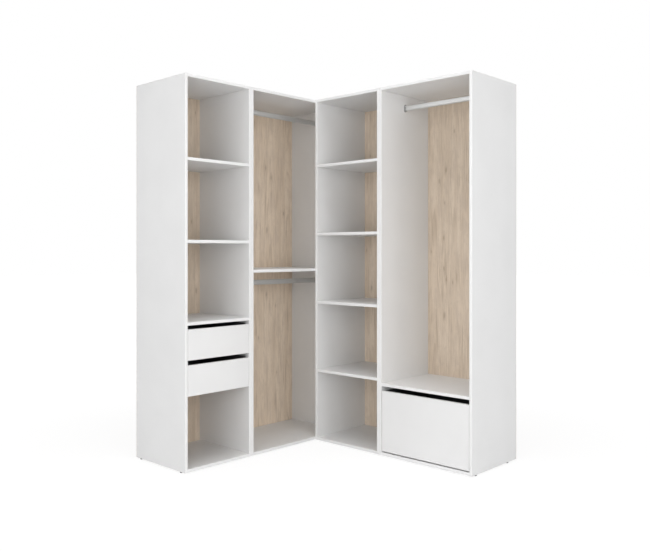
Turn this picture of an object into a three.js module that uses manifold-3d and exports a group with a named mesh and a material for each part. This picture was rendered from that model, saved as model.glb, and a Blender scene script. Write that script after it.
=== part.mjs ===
// Corner wardrobe: four open carcasses of white faced board that stand in an L.
// The left run holds a drawer tower and a corner bay, and the right run a shelf column and a
// hanging bay. Three rails hang in end sockets, and three drawers ride on roller runners.
// Millimetres, +Z up. The origin is on the floor, under the middle of the whole object.
// Each carcass is drawn as seen from its front: x to the right, y into its depth, and z up from
// the underside of its side panels. The left run is then turned to face +X.

import * as THREE from 'three';
import { mergeVertices } from 'three/addons/utils/BufferGeometryUtils.js';
import Module from 'manifold-3d';

const wasm = await Module();
wasm.setup();

// Clearances
const FIT = 0.3; // between pieces that are fastened together or rest on each other
const RUNNING = 0.8; // between pieces that slide past each other
const CARCASS_GAP = 0.4; // between neighbouring carcasses
const OVERRUN = 1; // how far a cut runs past the face that it opens

// Boards
const BOARD = 16; // sides, tops, bases, shelves and drawer fronts
const BOARD_DEPTH = 443; // from the front edges to the back panels
const CARCASS_HEIGHT = 2040; // side panels, without their feet
const BACK_PANEL = 3; // thickness of the wood-faced backs
const BACK_MARGIN = 1; // the backs stop this far inside the outer faces

// Widths over the side panels
const TOWER_WIDTH = 445;
const CORNER_WIDTH = 760;
const COLUMN_WIDTH = 494;
const HANGING_WIDTH = 598;
const CORNER_BLIND = 253; // the corner bay runs on this far behind the shelf column

// Shelves
const TOWER_LOW_SHELF = 766.5; // top face of the shelf over the drawers
const TOWER_TOP_BAY = 411.5; // clear height over the tower's highest shelf
const TOWER_SHELVES = 3;
const COLUMN_TOP_BAY = 374; // clear height over the column's highest shelf
const COLUMN_SHELVES = 4;
const HANGING_SHELF = 398.5; // top face of the shelf over the deep drawer

// Glide feet
const FOOT_RADIUS = 7;
const FOOT_HEIGHT = 6;
const FOOT_CHAMFER = 1.2;
const FOOT_FRONT_SETBACK = 43.5; // axis to the side panel's front edge
const LEFT_RUN_FOOT_SETBACK = 36; // rear axis to the side panel's rear edge, in the left run
const RIGHT_RUN_FOOT_SETBACK = 84; // and in the right run
const FOOT_SIDES = 18;

// Hanging rails and their end sockets
const RAIL_TALL = 30;
const RAIL_WIDE = 15;
const RAIL_WALL = 1;
const RAIL_DROP = 72; // axis below a top board
const LOW_RAIL_DROP = 66; // axis below the corner bay's shelf
const RAIL_SETBACK = 217; // axis to the front edges
const SOCKET_PLATE = 2.5;
const SOCKET_END_MARGIN = 6.5; // the plate stands out this far over and under the rail
const SOCKET_SIDE_MARGIN = 4; // and this far beside it
const SOCKET_WALL = 2;
const SOCKET_REACH = 10; // depth of the cradle in front of the plate
const SOCKET_SCREW_SPACING = 12;
const SOCKET_SCREW_RADIUS = 2.1;
const SOCKET_SCREW_HEAD = 4; // radius of the countersink at the plate's face
const ARC_STEPS = 6; // half the facets in each half round of a rail or socket

// Drawers
const SIDE_GAP = 2; // beside each front
const DEEP_LEFT_GAP = 3.6; // but this on the left of the deep one
const FINGER_GAP = 25; // over each front
const TOP_FINGER_GAP = 21; // but this over the tower's upper one
const SMALL_FRONT = 158.7;
const DEEP_FRONT_CLEARANCE = 7; // under the deep front
const BOX_RISE = 20; // underside of the box over the lower edge of its front
const SMALL_RIM_RISE = 8; // rim of a small drawer's box over the upper edge of its front
const BOX_WALL = 12;
const BOX_FOLD = 1.5; // flat on each folded corner
const BOX_BACK_CLEARANCE = 27; // behind the box
const FLOOR_PANEL = 3;
const GROOVE_DEPTH = 5;
const GROOVE_RISE = 10; // underside of the floor panel over the underside of the box

// Roller runners
const RUNNER_SPACE = 12.5; // between the box and each side panel
const STEEL = 1.2;
const BEND = 1; // inside radius of the folds
const ROLLER_RADIUS = 9;
const ROLLER_ROUND = 1.2; // rounding of the tread's edges
const ROLLER_DISH = 0.8; // depth of the hollow in the free face
const ROLLER_RIM = 2.6; // width of the rim round the hollow
const ROLLER_SIDES = 20;
const RIVET_RADIUS = 3;
const LIP = 1.5; // upturned edge of the channel's lower flange
const CHANNEL_SETBACK = 2; // behind the drawer front
const FRONT_ROLLER_SETBACK = 11; // axis to the channel's front end
const REAR_ROLLER_SETBACK = 10; // axis to the slider's rear end
const STOP_SETBACK = 81; // rear face of the stop to the channel's front end
const STOP_HEIGHT = 3;
const STOP_LENGTH = 9;
const STOP_MARGIN = 1.5; // beside the stop, on the lower flange
const CHANNEL_SCREWS = 3;
const CHANNEL_SCREW_SETBACK = 48;
const SLIDER_SCREWS = 3;
const SLIDER_SCREW_SETBACK = 36;
const SCREW_RADIUS = 2.1;
const SCREW_SIDES = 10;

// Places that several pieces share
const TOP_UNDERSIDE = CARCASS_HEIGHT - BOARD;
const CORNER_SHELF_UNDERSIDE = (BOARD + TOP_UNDERSIDE) / 2 - BOARD / 2; // half way up
const CARCASS_DEPTH = BOARD_DEPTH + FIT + BACK_PANEL;

const finish = (color, roughness, metalness) =>
  new THREE.MeshStandardMaterial({ color, roughness, metalness });
const whiteBoard = finish(0xe9e9e6, 0.45, 0);
const woodBack = finish(0xbba78f, 0.6, 0);
const railSteel = finish(0xc6c8c6, 0.3, 0.8);
const socketPlastic = finish(0x8d908e, 0.45, 0.2);
const runnerSteel = finish(0xdadbd8, 0.4, 0.3);
const darkBoard = finish(0x2c2d2f, 0.6, 0);

// Solids

function toSolid(geometry) {
  const bare = geometry.clone();
  bare.deleteAttribute('normal');
  bare.deleteAttribute('uv');
  const merged = mergeVertices(bare);
  return new wasm.Manifold(
    new wasm.Mesh({
      numProp: 3,
      vertProperties: merged.getAttribute('position').array,
      triVerts: new Uint32Array(merged.index.array),
    }),
  );
}

function toGeometry(solid) {
  const mesh = solid.getMesh();
  const geometry = new THREE.BufferGeometry();
  geometry.setAttribute('position', new THREE.BufferAttribute(mesh.vertProperties, 3));
  geometry.setIndex(new THREE.BufferAttribute(mesh.triVerts, 1));
  geometry.computeVertexNormals();
  return geometry;
}

// Joins and cuts, on geometries.
function shaped(base, { add = [], cut = [] }) {
  let solid = toSolid(base);
  for (const geometry of add) solid = solid.add(toSolid(geometry));
  for (const geometry of cut) solid = solid.subtract(toSolid(geometry));
  return toGeometry(solid);
}

// A block between two opposite corners.
function block([x0, y0, z0], [x1, y1, z1]) {
  const box = new THREE.BoxGeometry(Math.abs(x1 - x0), y1 - y0, z1 - z0);
  return box.translate((x0 + x1) / 2, (y0 + y1) / 2, (z0 + z1) / 2);
}

// A section drawn as (x, z), run through the depth from y0 to y1.
function alongDepth(section, y0, y1) {
  const options = { depth: y1 - y0, bevelEnabled: false };
  return new THREE.ExtrudeGeometry(section, options).rotateX(Math.PI / 2).translate(0, y1, 0);
}

// An outline drawn as (y, z), run across the width from x0 to x1.
function acrossWidth(outline, x0, x1) {
  const low = Math.min(x0, x1);
  const options = { depth: Math.abs(x1 - x0), bevelEnabled: false };
  const turn = new THREE.Matrix4().makeBasis(
    new THREE.Vector3(0, 1, 0),
    new THREE.Vector3(0, 0, 1),
    new THREE.Vector3(1, 0, 0),
  );
  return new THREE.ExtrudeGeometry(outline, options).applyMatrix4(turn).translate(low, 0, 0);
}

// A turned piece on an axis across the width. The profile is (radius, distance), and the distance
// runs from the point at, towards +x or, where towards is -1, towards -x.
function turned(profile, towards, [x, y, z], sides) {
  const points = profile.map(([radius, distance]) => new THREE.Vector2(radius, distance));
  const lathe = new THREE.LatheGeometry(points, sides);
  return lathe.rotateZ((-towards * Math.PI) / 2).translate(x, y, z);
}

const straightHole = (radius, length) => [
  [0, 0],
  [radius, 0],
  [radius, length],
  [0, length],
];

// The outline of a strip of even thickness on the left of a folded path. Each fold has the same
// inside radius, so the path's own corner is wider where the strip lies inside the fold.
function strip(corners, thickness, bend) {
  const path = new THREE.Path();
  path.moveTo(corners[0].x, corners[0].y);
  for (let i = 1; i < corners.length - 1; i++) {
    const corner = corners[i];
    const back = corners[i - 1].clone().sub(corner);
    const ahead = corners[i + 1].clone().sub(corner);
    const radius = ahead.cross(back) > 0 ? bend + thickness : bend;
    back.setLength(radius);
    ahead.setLength(radius);
    path.lineTo(corner.x + back.x, corner.y + back.y);
    path.quadraticCurveTo(corner.x, corner.y, corner.x + ahead.x, corner.y + ahead.y);
  }
  const last = corners[corners.length - 1];
  path.lineTo(last.x, last.y);
  const near = path.getPoints(3);
  const far = near.map((point, i) => {
    const before = point.clone().sub(near[Math.max(i - 1, 0)]).normalize();
    const after = near[Math.min(i + 1, near.length - 1)].clone().sub(point).normalize();
    const along = before.clone().add(after).normalize();
    const turn = i > 0 && i < near.length - 1 ? along.dot(after) : 1;
    return new THREE.Vector2(-along.y, along.x).multiplyScalar(thickness / turn).add(point);
  });
  return new THREE.Shape([...near, ...far.reverse()]);
}

// Naming and placing

function piece(name, geometry, material, [x, y, z] = [0, 0, 0]) {
  const mesh = new THREE.Mesh(geometry, material);
  mesh.name = name;
  mesh.position.set(x, y, z);
  return mesh;
}

// Carcasses

function sidePanel(rearFootSetback) {
  const profile = [
    [0, 0],
    [FOOT_RADIUS - FOOT_CHAMFER, 0],
    [FOOT_RADIUS, FOOT_CHAMFER],
    [FOOT_RADIUS, FOOT_HEIGHT + OVERRUN],
    [0, FOOT_HEIGHT + OVERRUN],
  ];
  const points = profile.map(([radius, height]) => new THREE.Vector2(radius, height));
  const feet = [FOOT_FRONT_SETBACK, BOARD_DEPTH - rearFootSetback].map((y) =>
    new THREE.LatheGeometry(points, FOOT_SIDES).rotateX(Math.PI / 2).translate(BOARD / 2, y, -FOOT_HEIGHT),
  );
  return shaped(block([0, 0, 0], [BOARD, BOARD_DEPTH, CARCASS_HEIGHT]), { add: feet });
}

// A board between the two side panels.
const crossBoard = (width) =>
  block([BOARD + FIT, 0, 0], [width - BOARD - FIT, BOARD_DEPTH, BOARD]);

function backPanel(width) {
  const near = [BACK_MARGIN, BOARD_DEPTH + FIT, BACK_MARGIN];
  const far = [width - BACK_MARGIN, CARCASS_DEPTH, CARCASS_HEIGHT - BACK_MARGIN];
  return block(near, far);
}

// An open carcass at x, with its shelves given by their names and undersides.
function carcass(name, x, width, shelves, rearFootSetback) {
  const group = new THREE.Group();
  group.position.x = x;
  group.add(
    piece(`${name}_left_side`, sidePanel(rearFootSetback), whiteBoard),
    piece(`${name}_right_side`, sidePanel(rearFootSetback), whiteBoard, [width - BOARD, 0, 0]),
    piece(`${name}_top`, crossBoard(width), whiteBoard, [0, 0, TOP_UNDERSIDE]),
    piece(`${name}_base`, crossBoard(width), whiteBoard),
    piece(`${name}_back`, backPanel(width), woodBack),
  );
  for (const [shelf, underside] of Object.entries(shelves)) {
    group.add(piece(`${name}_${shelf}`, crossBoard(width), whiteBoard, [0, 0, underside]));
  }
  return group;
}

// Hanging rails

// An upright oval round the rail's axis, grown by the margins beside it and at its ends.
function oval(sideMargin, endMargin, Outline = THREE.Shape) {
  const radius = RAIL_WIDE / 2 + sideMargin;
  const straight = RAIL_TALL / 2 + endMargin - radius;
  const outline = new Outline();
  outline.absarc(0, straight, radius, 0, Math.PI, false);
  outline.absarc(0, -straight, radius, Math.PI, 2 * Math.PI, false);
  return outline;
}

function roundedShape(outline, holes = []) {
  const shape = new THREE.Shape(outline.getPoints(ARC_STEPS));
  shape.holes = holes.map((hole) => new THREE.Path(hole.getPoints(ARC_STEPS)));
  return shape;
}

function railTube(x0, x1) {
  const bore = oval(-RAIL_WALL, -RAIL_WALL, THREE.Path);
  return acrossWidth(roundedShape(oval(0, 0), [bore]), x0, x1);
}

// The cradle's section: a U that is open at the top, so that the rail drops in.
function cradle() {
  const inner = RAIL_WIDE / 2 + FIT;
  const outer = inner + SOCKET_WALL;
  const level = (RAIL_TALL - RAIL_WIDE) / 2;
  const outline = new THREE.Path();
  outline.moveTo(outer, level);
  outline.lineTo(inner, level);
  outline.lineTo(inner, -level);
  outline.absarc(0, -level, inner, 0, -Math.PI, true);
  outline.lineTo(-inner, level);
  outline.lineTo(-outer, level);
  outline.lineTo(-outer, -level);
  outline.absarc(0, -level, outer, Math.PI, 2 * Math.PI, false);
  return roundedShape(outline);
}

// An end socket on a side panel's face at x, which reaches towards +x (1) or -x (-1).
function socket(x, towards) {
  const foot = x + towards * FIT;
  const plateFace = foot + towards * SOCKET_PLATE;
  const plate = acrossWidth(roundedShape(oval(SOCKET_SIDE_MARGIN, SOCKET_END_MARGIN)), foot, plateFace);
  const arms = acrossWidth(cradle(), foot, plateFace + towards * SOCKET_REACH);
  const countersink = [
    [0, -OVERRUN],
    [SOCKET_SCREW_RADIUS, -OVERRUN],
    [SOCKET_SCREW_RADIUS, SOCKET_PLATE - (SOCKET_SCREW_HEAD - SOCKET_SCREW_RADIUS)],
    [SOCKET_SCREW_HEAD, SOCKET_PLATE],
    [SOCKET_SCREW_HEAD, SOCKET_PLATE + OVERRUN],
    [0, SOCKET_PLATE + OVERRUN],
  ];
  const screws = [-1, 1].map((end) =>
    turned(countersink, towards, [foot, 0, (end * SOCKET_SCREW_SPACING) / 2], SCREW_SIDES),
  );
  return shaped(plate, { add: [arms], cut: screws });
}

// A rail with its sockets, with its axis at the level given.
function hangingRail(names, width, level) {
  const group = new THREE.Group();
  const left = BOARD;
  const right = width - BOARD;
  const seat = FIT + SOCKET_PLATE + FIT;
  group.position.set(0, RAIL_SETBACK, level);
  group.add(
    piece(`${names}rail`, railTube(left + seat, right - seat), railSteel),
    piece(`${names}socket_left`, socket(left, 1), socketPlastic),
    piece(`${names}socket_right`, socket(right, -1), socketPlastic),
  );
  return group;
}

// Roller runners, drawn for the space between a side panel's face and the box. The distance w runs
// from the side panel's face to the box, and z starts at the underside of the channel.

const CHANNEL_WEB = FIT + STEEL; // the web's free face
const SLIDER_WEB = RUNNER_SPACE - FIT - STEEL; // the slider's face towards the side panel
const FLANGE_EDGE = SLIDER_WEB - RUNNING / 2;
const TREAD_NEAR = CHANNEL_WEB + RUNNING;
const TREAD_FAR = FLANGE_EDGE - STEEL - FIT;
const REAR_ROLLER_HEIGHT = STEEL + FIT + ROLLER_RADIUS;
const CHANNEL_HEIGHT = REAR_ROLLER_HEIGHT + ROLLER_RADIUS + RUNNING + STEEL;
const SLIDER_TOP = CHANNEL_HEIGHT + RUNNING + STEEL;
const FRONT_ROLLER_HEIGHT = SLIDER_TOP - STEEL - FIT - ROLLER_RADIUS;
const CHANNEL_FRONT = BOARD + CHANNEL_SETBACK;
const BOX_FRONT = BOARD + FIT;
const BOX_BACK = BOARD_DEPTH - BOX_BACK_CLEARANCE;
const REAR_ROLLER = BOX_BACK - REAR_ROLLER_SETBACK;
const REAR_STOP = REAR_ROLLER + ROLLER_RADIUS + FIT;

// The roller of one member, from that member's web: hub, tread with rounded edges, hollow, rivet.
function rollerProfile(gap) {
  const far = gap + TREAD_FAR - TREAD_NEAR;
  const hollow = ROLLER_RADIUS - ROLLER_RIM;
  return [
    [0, -STEEL / 2],
    [RIVET_RADIUS, -STEEL / 2],
    [RIVET_RADIUS, gap],
    [ROLLER_RADIUS - ROLLER_ROUND, gap],
    [ROLLER_RADIUS, gap + ROLLER_ROUND],
    [ROLLER_RADIUS, far - ROLLER_ROUND],
    [ROLLER_RADIUS - ROLLER_ROUND, far],
    [hollow, far],
    [hollow, far - ROLLER_DISH],
    [RIVET_RADIUS, far - ROLLER_DISH],
    [RIVET_RADIUS, far],
    [0, far],
  ];
}

// Evenly spaced places, the same distance from both ends.
function spaced(count, low, high) {
  return Array.from({ length: count }, (_, i) => low + ((high - low) * i) / (count - 1));
}

// The fixed member: a folded channel with a front roller, a stop and a closed rear end.
// across(w) turns a distance from the side panel into x, and towards is the way that w runs.
function channel(across, towards) {
  const rearEnd = REAR_STOP + STEEL;
  const path = [
    [FLANGE_EDGE, STEEL + LIP],
    [FLANGE_EDGE, 0],
    [FIT, 0],
    [FIT, CHANNEL_HEIGHT],
    [FLANGE_EDGE, CHANNEL_HEIGHT],
  ].map(([w, z]) => new THREE.Vector2(across(w), z));
  if (towards > 0) path.reverse();
  const section = strip(path, STEEL, BEND);
  const front = [across(CHANNEL_WEB), CHANNEL_FRONT + FRONT_ROLLER_SETBACK, FRONT_ROLLER_HEIGHT];
  const roller = turned(rollerProfile(RUNNING), towards, front, ROLLER_SIDES);
  const closure = block(
    [across(CHANNEL_WEB - STEEL / 2), REAR_STOP, STEEL / 2],
    [across(FLANGE_EDGE), rearEnd, CHANNEL_HEIGHT - STEEL / 2],
  );
  const stopBack = CHANNEL_FRONT + STOP_SETBACK;
  const wedge = new THREE.Shape([
    new THREE.Vector2(stopBack - STOP_LENGTH, STEEL / 2),
    new THREE.Vector2(stopBack, STEEL / 2),
    new THREE.Vector2(stopBack, STEEL + STOP_HEIGHT),
  ]);
  const stop = acrossWidth(wedge, across(TREAD_NEAR + STOP_MARGIN), across(TREAD_FAR - STOP_MARGIN));
  const window = block(
    [across(CHANNEL_WEB), CHANNEL_FRONT - OVERRUN, CHANNEL_HEIGHT - STEEL - RUNNING],
    [
      across(FLANGE_EDGE + OVERRUN),
      CHANNEL_FRONT + FRONT_ROLLER_SETBACK + ROLLER_RADIUS + RUNNING,
      CHANNEL_HEIGHT + OVERRUN,
    ],
  );
  const hole = straightHole(SCREW_RADIUS, STEEL + 2 * OVERRUN);
  const screws = spaced(
    CHANNEL_SCREWS,
    CHANNEL_FRONT + CHANNEL_SCREW_SETBACK,
    rearEnd - CHANNEL_SCREW_SETBACK,
  ).map((y) => turned(hole, towards, [across(FIT - OVERRUN), y, CHANNEL_HEIGHT / 2], SCREW_SIDES));
  const folded = shaped(alongDepth(section, CHANNEL_FRONT, rearEnd), { cut: [window] });
  return shaped(folded, { add: [roller, closure, stop], cut: screws });
}

// The sliding member: a folded strip under and beside the box, with a rear roller.
function slider(across, towards) {
  const path = [
    [RUNNER_SPACE + BOX_WALL, 0],
    [SLIDER_WEB, 0],
    [SLIDER_WEB, SLIDER_TOP - STEEL],
    [TREAD_NEAR, SLIDER_TOP - STEEL],
  ].map(([w, z]) => new THREE.Vector2(across(w), z));
  if (towards > 0) path.reverse();
  const section = strip(path, STEEL, BEND);
  const rear = [across(SLIDER_WEB), REAR_ROLLER, REAR_ROLLER_HEIGHT];
  const roller = turned(rollerProfile(SLIDER_WEB - TREAD_FAR), -towards, rear, ROLLER_SIDES);
  const flange = RUNNER_SPACE + BOX_WALL / 2;
  const screws = spaced(
    SLIDER_SCREWS,
    BOX_FRONT + SLIDER_SCREW_SETBACK,
    BOX_BACK - SLIDER_SCREW_SETBACK,
  ).map((y) =>
    new THREE.CylinderGeometry(SCREW_RADIUS, SCREW_RADIUS, 2 * (STEEL + OVERRUN), SCREW_SIDES)
      .rotateX(Math.PI / 2)
      .translate(across(flange), y, STEEL / 2),
  );
  return shaped(alongDepth(section, BOX_FRONT, BOX_BACK), { add: [roller], cut: screws });
}

// Drawers, drawn from the left side panel's inner face and the lower edge of the front

const BOX_UNDERSIDE = BOX_RISE;
const RUNNER_LEVEL = BOX_RISE - FIT - STEEL;
const FLOOR_LEVEL = BOX_UNDERSIDE + GROOVE_RISE;

// The room that the floor panel's edges take in the grooves.
function grooveCut(opening) {
  const side = RUNNER_SPACE + BOX_WALL - GROOVE_DEPTH;
  return block(
    [side, BOX_FRONT - GROOVE_DEPTH, FLOOR_LEVEL - FIT],
    [opening - side, BOX_BACK - BOX_WALL + GROOVE_DEPTH, FLOOR_LEVEL + FLOOR_PANEL + FIT],
  );
}

function drawerFront(opening, height, leftGap) {
  const board = block([leftGap, 0, 0], [opening - SIDE_GAP, BOARD, height]);
  return shaped(board, { cut: [grooveCut(opening)] });
}

// Two sides and a back, folded from one board.
function boxWrap(opening, height) {
  const low = RUNNER_SPACE;
  const high = opening - RUNNER_SPACE;
  const inside = BOX_BACK - BOX_WALL;
  const outline = new THREE.Shape(
    [
      [low, -BOX_FRONT],
      [low, BOX_FOLD - BOX_BACK],
      [low + BOX_FOLD, -BOX_BACK],
      [high - BOX_FOLD, -BOX_BACK],
      [high, BOX_FOLD - BOX_BACK],
      [high, -BOX_FRONT],
      [high - BOX_WALL, -BOX_FRONT],
      [high - BOX_WALL, -inside],
      [low + BOX_WALL, -inside],
      [low + BOX_WALL, -BOX_FRONT],
    ].map(([x, y]) => new THREE.Vector2(x, -y)),
  );
  const wrap = new THREE.ExtrudeGeometry(outline, { depth: height, bevelEnabled: false });
  return shaped(wrap.translate(0, 0, BOX_UNDERSIDE), { cut: [grooveCut(opening)] });
}

function floorPanel(opening) {
  const side = RUNNER_SPACE + BOX_WALL - GROOVE_DEPTH + FIT;
  const front = BOX_FRONT - GROOVE_DEPTH + FIT;
  const back = BOX_BACK - BOX_WALL + GROOVE_DEPTH - FIT;
  return block([side, front, FLOOR_LEVEL], [opening - side, back, FLOOR_LEVEL + FLOOR_PANEL]);
}

function drawer(name, width, level, frontHeight, { rimRise = 0, leftGap = SIDE_GAP }) {
  const group = new THREE.Group();
  const opening = width - 2 * BOARD;
  const boxHeight = frontHeight - BOX_UNDERSIDE + rimRise;
  group.position.set(BOARD, 0, level);
  group.add(
    piece(`${name}_front`, drawerFront(opening, frontHeight, leftGap), whiteBoard),
    piece(`${name}_box`, boxWrap(opening, boxHeight), darkBoard),
    piece(`${name}_floor`, floorPanel(opening), darkBoard),
  );
  const hands = {
    left: [(w) => w, 1],
    right: [(w) => opening - w, -1],
  };
  for (const [hand, [across, towards]] of Object.entries(hands)) {
    group.add(
      piece(`${name}_slider_${hand}`, slider(across, towards), runnerSteel, [0, 0, RUNNER_LEVEL]),
      piece(`${name}_channel_${hand}`, channel(across, towards), runnerSteel, [0, 0, RUNNER_LEVEL]),
    );
  }
  return group;
}

// The four carcasses

function drawerTower(x) {
  const lowUnderside = TOWER_LOW_SHELF - BOARD;
  const highUnderside = TOP_UNDERSIDE - TOWER_TOP_BAY - BOARD;
  const undersides = spaced(TOWER_SHELVES, lowUnderside, highUnderside);
  const shelves = Object.fromEntries(undersides.map((z, i) => [`shelf_${i + 1}`, z]));
  const group = carcass('tower', x, TOWER_WIDTH, shelves, LEFT_RUN_FOOT_SETBACK);
  const upper = lowUnderside - TOP_FINGER_GAP - SMALL_FRONT;
  const lower = upper - FINGER_GAP - SMALL_FRONT;
  const box = { rimRise: SMALL_RIM_RISE };
  group.add(
    drawer('upper_drawer', TOWER_WIDTH, upper, SMALL_FRONT, box),
    drawer('lower_drawer', TOWER_WIDTH, lower, SMALL_FRONT, box),
  );
  return group;
}

function cornerBay(x) {
  const shelves = { shelf: CORNER_SHELF_UNDERSIDE };
  const group = carcass('corner', x, CORNER_WIDTH, shelves, LEFT_RUN_FOOT_SETBACK);
  group.add(
    hangingRail('corner_upper_', CORNER_WIDTH, TOP_UNDERSIDE - RAIL_DROP),
    hangingRail('corner_lower_', CORNER_WIDTH, CORNER_SHELF_UNDERSIDE - LOW_RAIL_DROP),
  );
  return group;
}

function shelfColumn(x) {
  const highTop = TOP_UNDERSIDE - COLUMN_TOP_BAY;
  const tops = spaced(COLUMN_SHELVES + 1, BOARD, highTop).slice(1);
  const shelves = Object.fromEntries(tops.map((z, i) => [`shelf_${i + 1}`, z - BOARD]));
  return carcass('column', x, COLUMN_WIDTH, shelves, RIGHT_RUN_FOOT_SETBACK);
}

function hangingBay(x) {
  const underside = HANGING_SHELF - BOARD;
  const level = BOARD + DEEP_FRONT_CLEARANCE;
  const front = underside - FINGER_GAP - level;
  const group = carcass('hanging', x, HANGING_WIDTH, { shelf: underside }, RIGHT_RUN_FOOT_SETBACK);
  group.add(
    hangingRail('hanging_', HANGING_WIDTH, TOP_UNDERSIDE - RAIL_DROP),
    drawer('deep_drawer', HANGING_WIDTH, level, front, { leftGap: DEEP_LEFT_GAP }),
  );
  return group;
}

// The two runs meet at the inner corner, where the shelf column's side covers the corner bay's end.
function wardrobe() {
  const cornerX = CORNER_BLIND - CORNER_WIDTH;
  const towerX = cornerX - CARCASS_GAP - TOWER_WIDTH;
  const leftRun = new THREE.Group();
  leftRun.rotation.z = Math.PI / 2;
  leftRun.add(drawerTower(towerX), cornerBay(cornerX));

  const hangingX = CARCASS_GAP + COLUMN_WIDTH + CARCASS_GAP;
  const rightRun = new THREE.Group();
  rightRun.add(shelfColumn(CARCASS_GAP), hangingBay(hangingX));

  const whole = new THREE.Group();
  const rightEnd = hangingX + HANGING_WIDTH;
  whole.position.set((CARCASS_DEPTH - rightEnd) / 2, -(towerX + CARCASS_DEPTH) / 2, FOOT_HEIGHT);
  whole.add(leftRun, rightRun);
  return whole;
}

export default wardrobe();
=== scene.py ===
"""Looks of a corner wardrobe: four open carcasses in an L, three drawers and three hanging rails.

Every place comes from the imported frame. Pieces are drawn in millimetres in the directions of
their own run (across to the right, depth to the back, up), and turned into the frame at the end.
"""
from __future__ import annotations

import logging
import math
from collections.abc import Callable, Sequence
from dataclasses import dataclass, field
from enum import Enum
from functools import reduce
from typing import Any

import bmesh
import bpy
from mathutils import Matrix, Vector


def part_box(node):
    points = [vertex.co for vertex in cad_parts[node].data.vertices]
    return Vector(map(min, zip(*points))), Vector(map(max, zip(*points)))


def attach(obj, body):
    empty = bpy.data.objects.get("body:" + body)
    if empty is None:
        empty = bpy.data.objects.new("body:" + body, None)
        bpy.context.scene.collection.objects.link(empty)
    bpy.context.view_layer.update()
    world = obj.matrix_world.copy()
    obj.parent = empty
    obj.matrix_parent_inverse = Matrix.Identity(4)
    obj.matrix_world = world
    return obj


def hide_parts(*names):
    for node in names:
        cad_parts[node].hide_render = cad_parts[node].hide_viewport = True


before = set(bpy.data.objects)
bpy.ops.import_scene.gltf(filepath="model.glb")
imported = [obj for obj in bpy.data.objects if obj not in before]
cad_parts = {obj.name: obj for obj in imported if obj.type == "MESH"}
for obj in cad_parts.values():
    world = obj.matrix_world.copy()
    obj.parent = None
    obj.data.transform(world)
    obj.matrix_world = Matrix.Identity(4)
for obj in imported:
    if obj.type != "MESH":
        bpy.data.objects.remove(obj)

LOG = logging.getLogger("wardrobe")
METRES = 0.001  # metres in one millimetre
TOUCH = 1e-4  # millimetres within which two places are the same
CREASE = 38.0  # degrees from which an edge is shaded sharp
FACING = 0.9  # share of a face's normal from which the face looks that way
THIN_ARRIS = 0.15  # millimetres taken off the edges of a thin panel
CARCASSES = "carcasses"  # the body that stands still
WHITE = (1.0, 1.0, 1.0, 1.0)

Colour = tuple[float, float, float]
Span = tuple[float, float]
Outline = list[tuple[float, float]]
Ring = Sequence[bmesh.types.BMVert]


class Axis(Enum):
    """The three directions of a run."""

    ACROSS = 0
    DEPTH = 1
    UP = 2

    @property
    def unit(self) -> Vector:
        """A vector of length one along this direction."""
        return Vector([float(i == self.value) for i in range(3)])


class Run(Enum):
    """The two runs of the L, each by its turn about the upright axis, in degrees."""

    LEFT = 90.0
    RIGHT = 0.0

    @property
    def turn(self) -> Matrix:
        """The rotation from the run's own directions to the frame."""
        return Matrix.Rotation(math.radians(self.value), 4, "Z")

    def box(self, node: str) -> Block:
        """The box of a node in the run's own directions.

        Args:
            node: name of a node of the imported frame.

        Returns:
            Its box in millimetres.
        """
        back = self.turn.inverted()
        corners = [back @ (corner / METRES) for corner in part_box(node)]
        return Block(Vector(map(min, *corners)), Vector(map(max, *corners)))


@dataclass(frozen=True)
class Block:
    """An upright box in millimetres."""

    lo: Vector
    hi: Vector

    @property
    def size(self) -> Vector:
        """Its three lengths."""
        return self.hi - self.lo

    @property
    def centre(self) -> Vector:
        """The point in its middle."""
        return (self.lo + self.hi) / 2

    def reset(self, axis: Axis, lo: float | None = None, hi: float | None = None) -> Block:
        """The same box with one or both of its ends moved.

        Args:
            axis: the direction whose ends move.
            lo: the new low end, or None to keep it.
            hi: the new high end, or None to keep it.

        Returns:
            The changed box.
        """
        low, high = self.lo.copy(), self.hi.copy()
        low[axis.value] = low[axis.value] if lo is None else lo
        high[axis.value] = high[axis.value] if hi is None else hi
        return Block(low, high)


# Node graphs


class Graph:
    """A node tree that is filled by code, for a material or for Geometry Nodes."""

    def __init__(self, tree: bpy.types.NodeTree) -> None:
        """Starts from an empty tree."""
        self.tree = tree
        self.tree.nodes.clear()

    def node(self, kind: str, settings: dict[str, Any] | None = None,
             inputs: dict[str | int, Any] | None = None) -> bpy.types.Node:
        """Adds a node.

        Args:
            kind: its type, such as ShaderNodeBump.
            settings: its own settings, set first.
            inputs: for each socket, by name or number, a value or what it is linked to.

        Returns:
            The new node.
        """
        made = self.tree.nodes.new(kind)
        for key, value in (settings or {}).items():
            setattr(made, key, value)
        for key, value in (inputs or {}).items():
            socket = self._socket(made.inputs, key)
            if isinstance(value, Value):
                value = value.socket
            if isinstance(value, bpy.types.NodeSocket):
                self.tree.links.new(value, socket)
            else:
                socket.default_value = value
        return made

    def value(self, kind: str, settings: dict[str, Any] | None = None,
              inputs: dict[str | int, Any] | None = None, output: str | int = 0) -> Value:
        """One output, by name or number, of a node that is added as node() says."""
        return Value(self, self._socket(self.node(kind, settings, inputs).outputs, output))

    @staticmethod
    def _socket(sockets: Sequence[bpy.types.NodeSocket], key: str | int) -> bpy.types.NodeSocket:
        """One of a node's sockets.

        Args:
            sockets: its inputs or outputs.
            key: the socket's number, or its name among those that the settings leave in use.

        Returns:
            The socket.
        """
        if isinstance(key, int):
            return sockets[key]
        return next(s for s in sockets if s.name == key and not s.is_unavailable)


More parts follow.
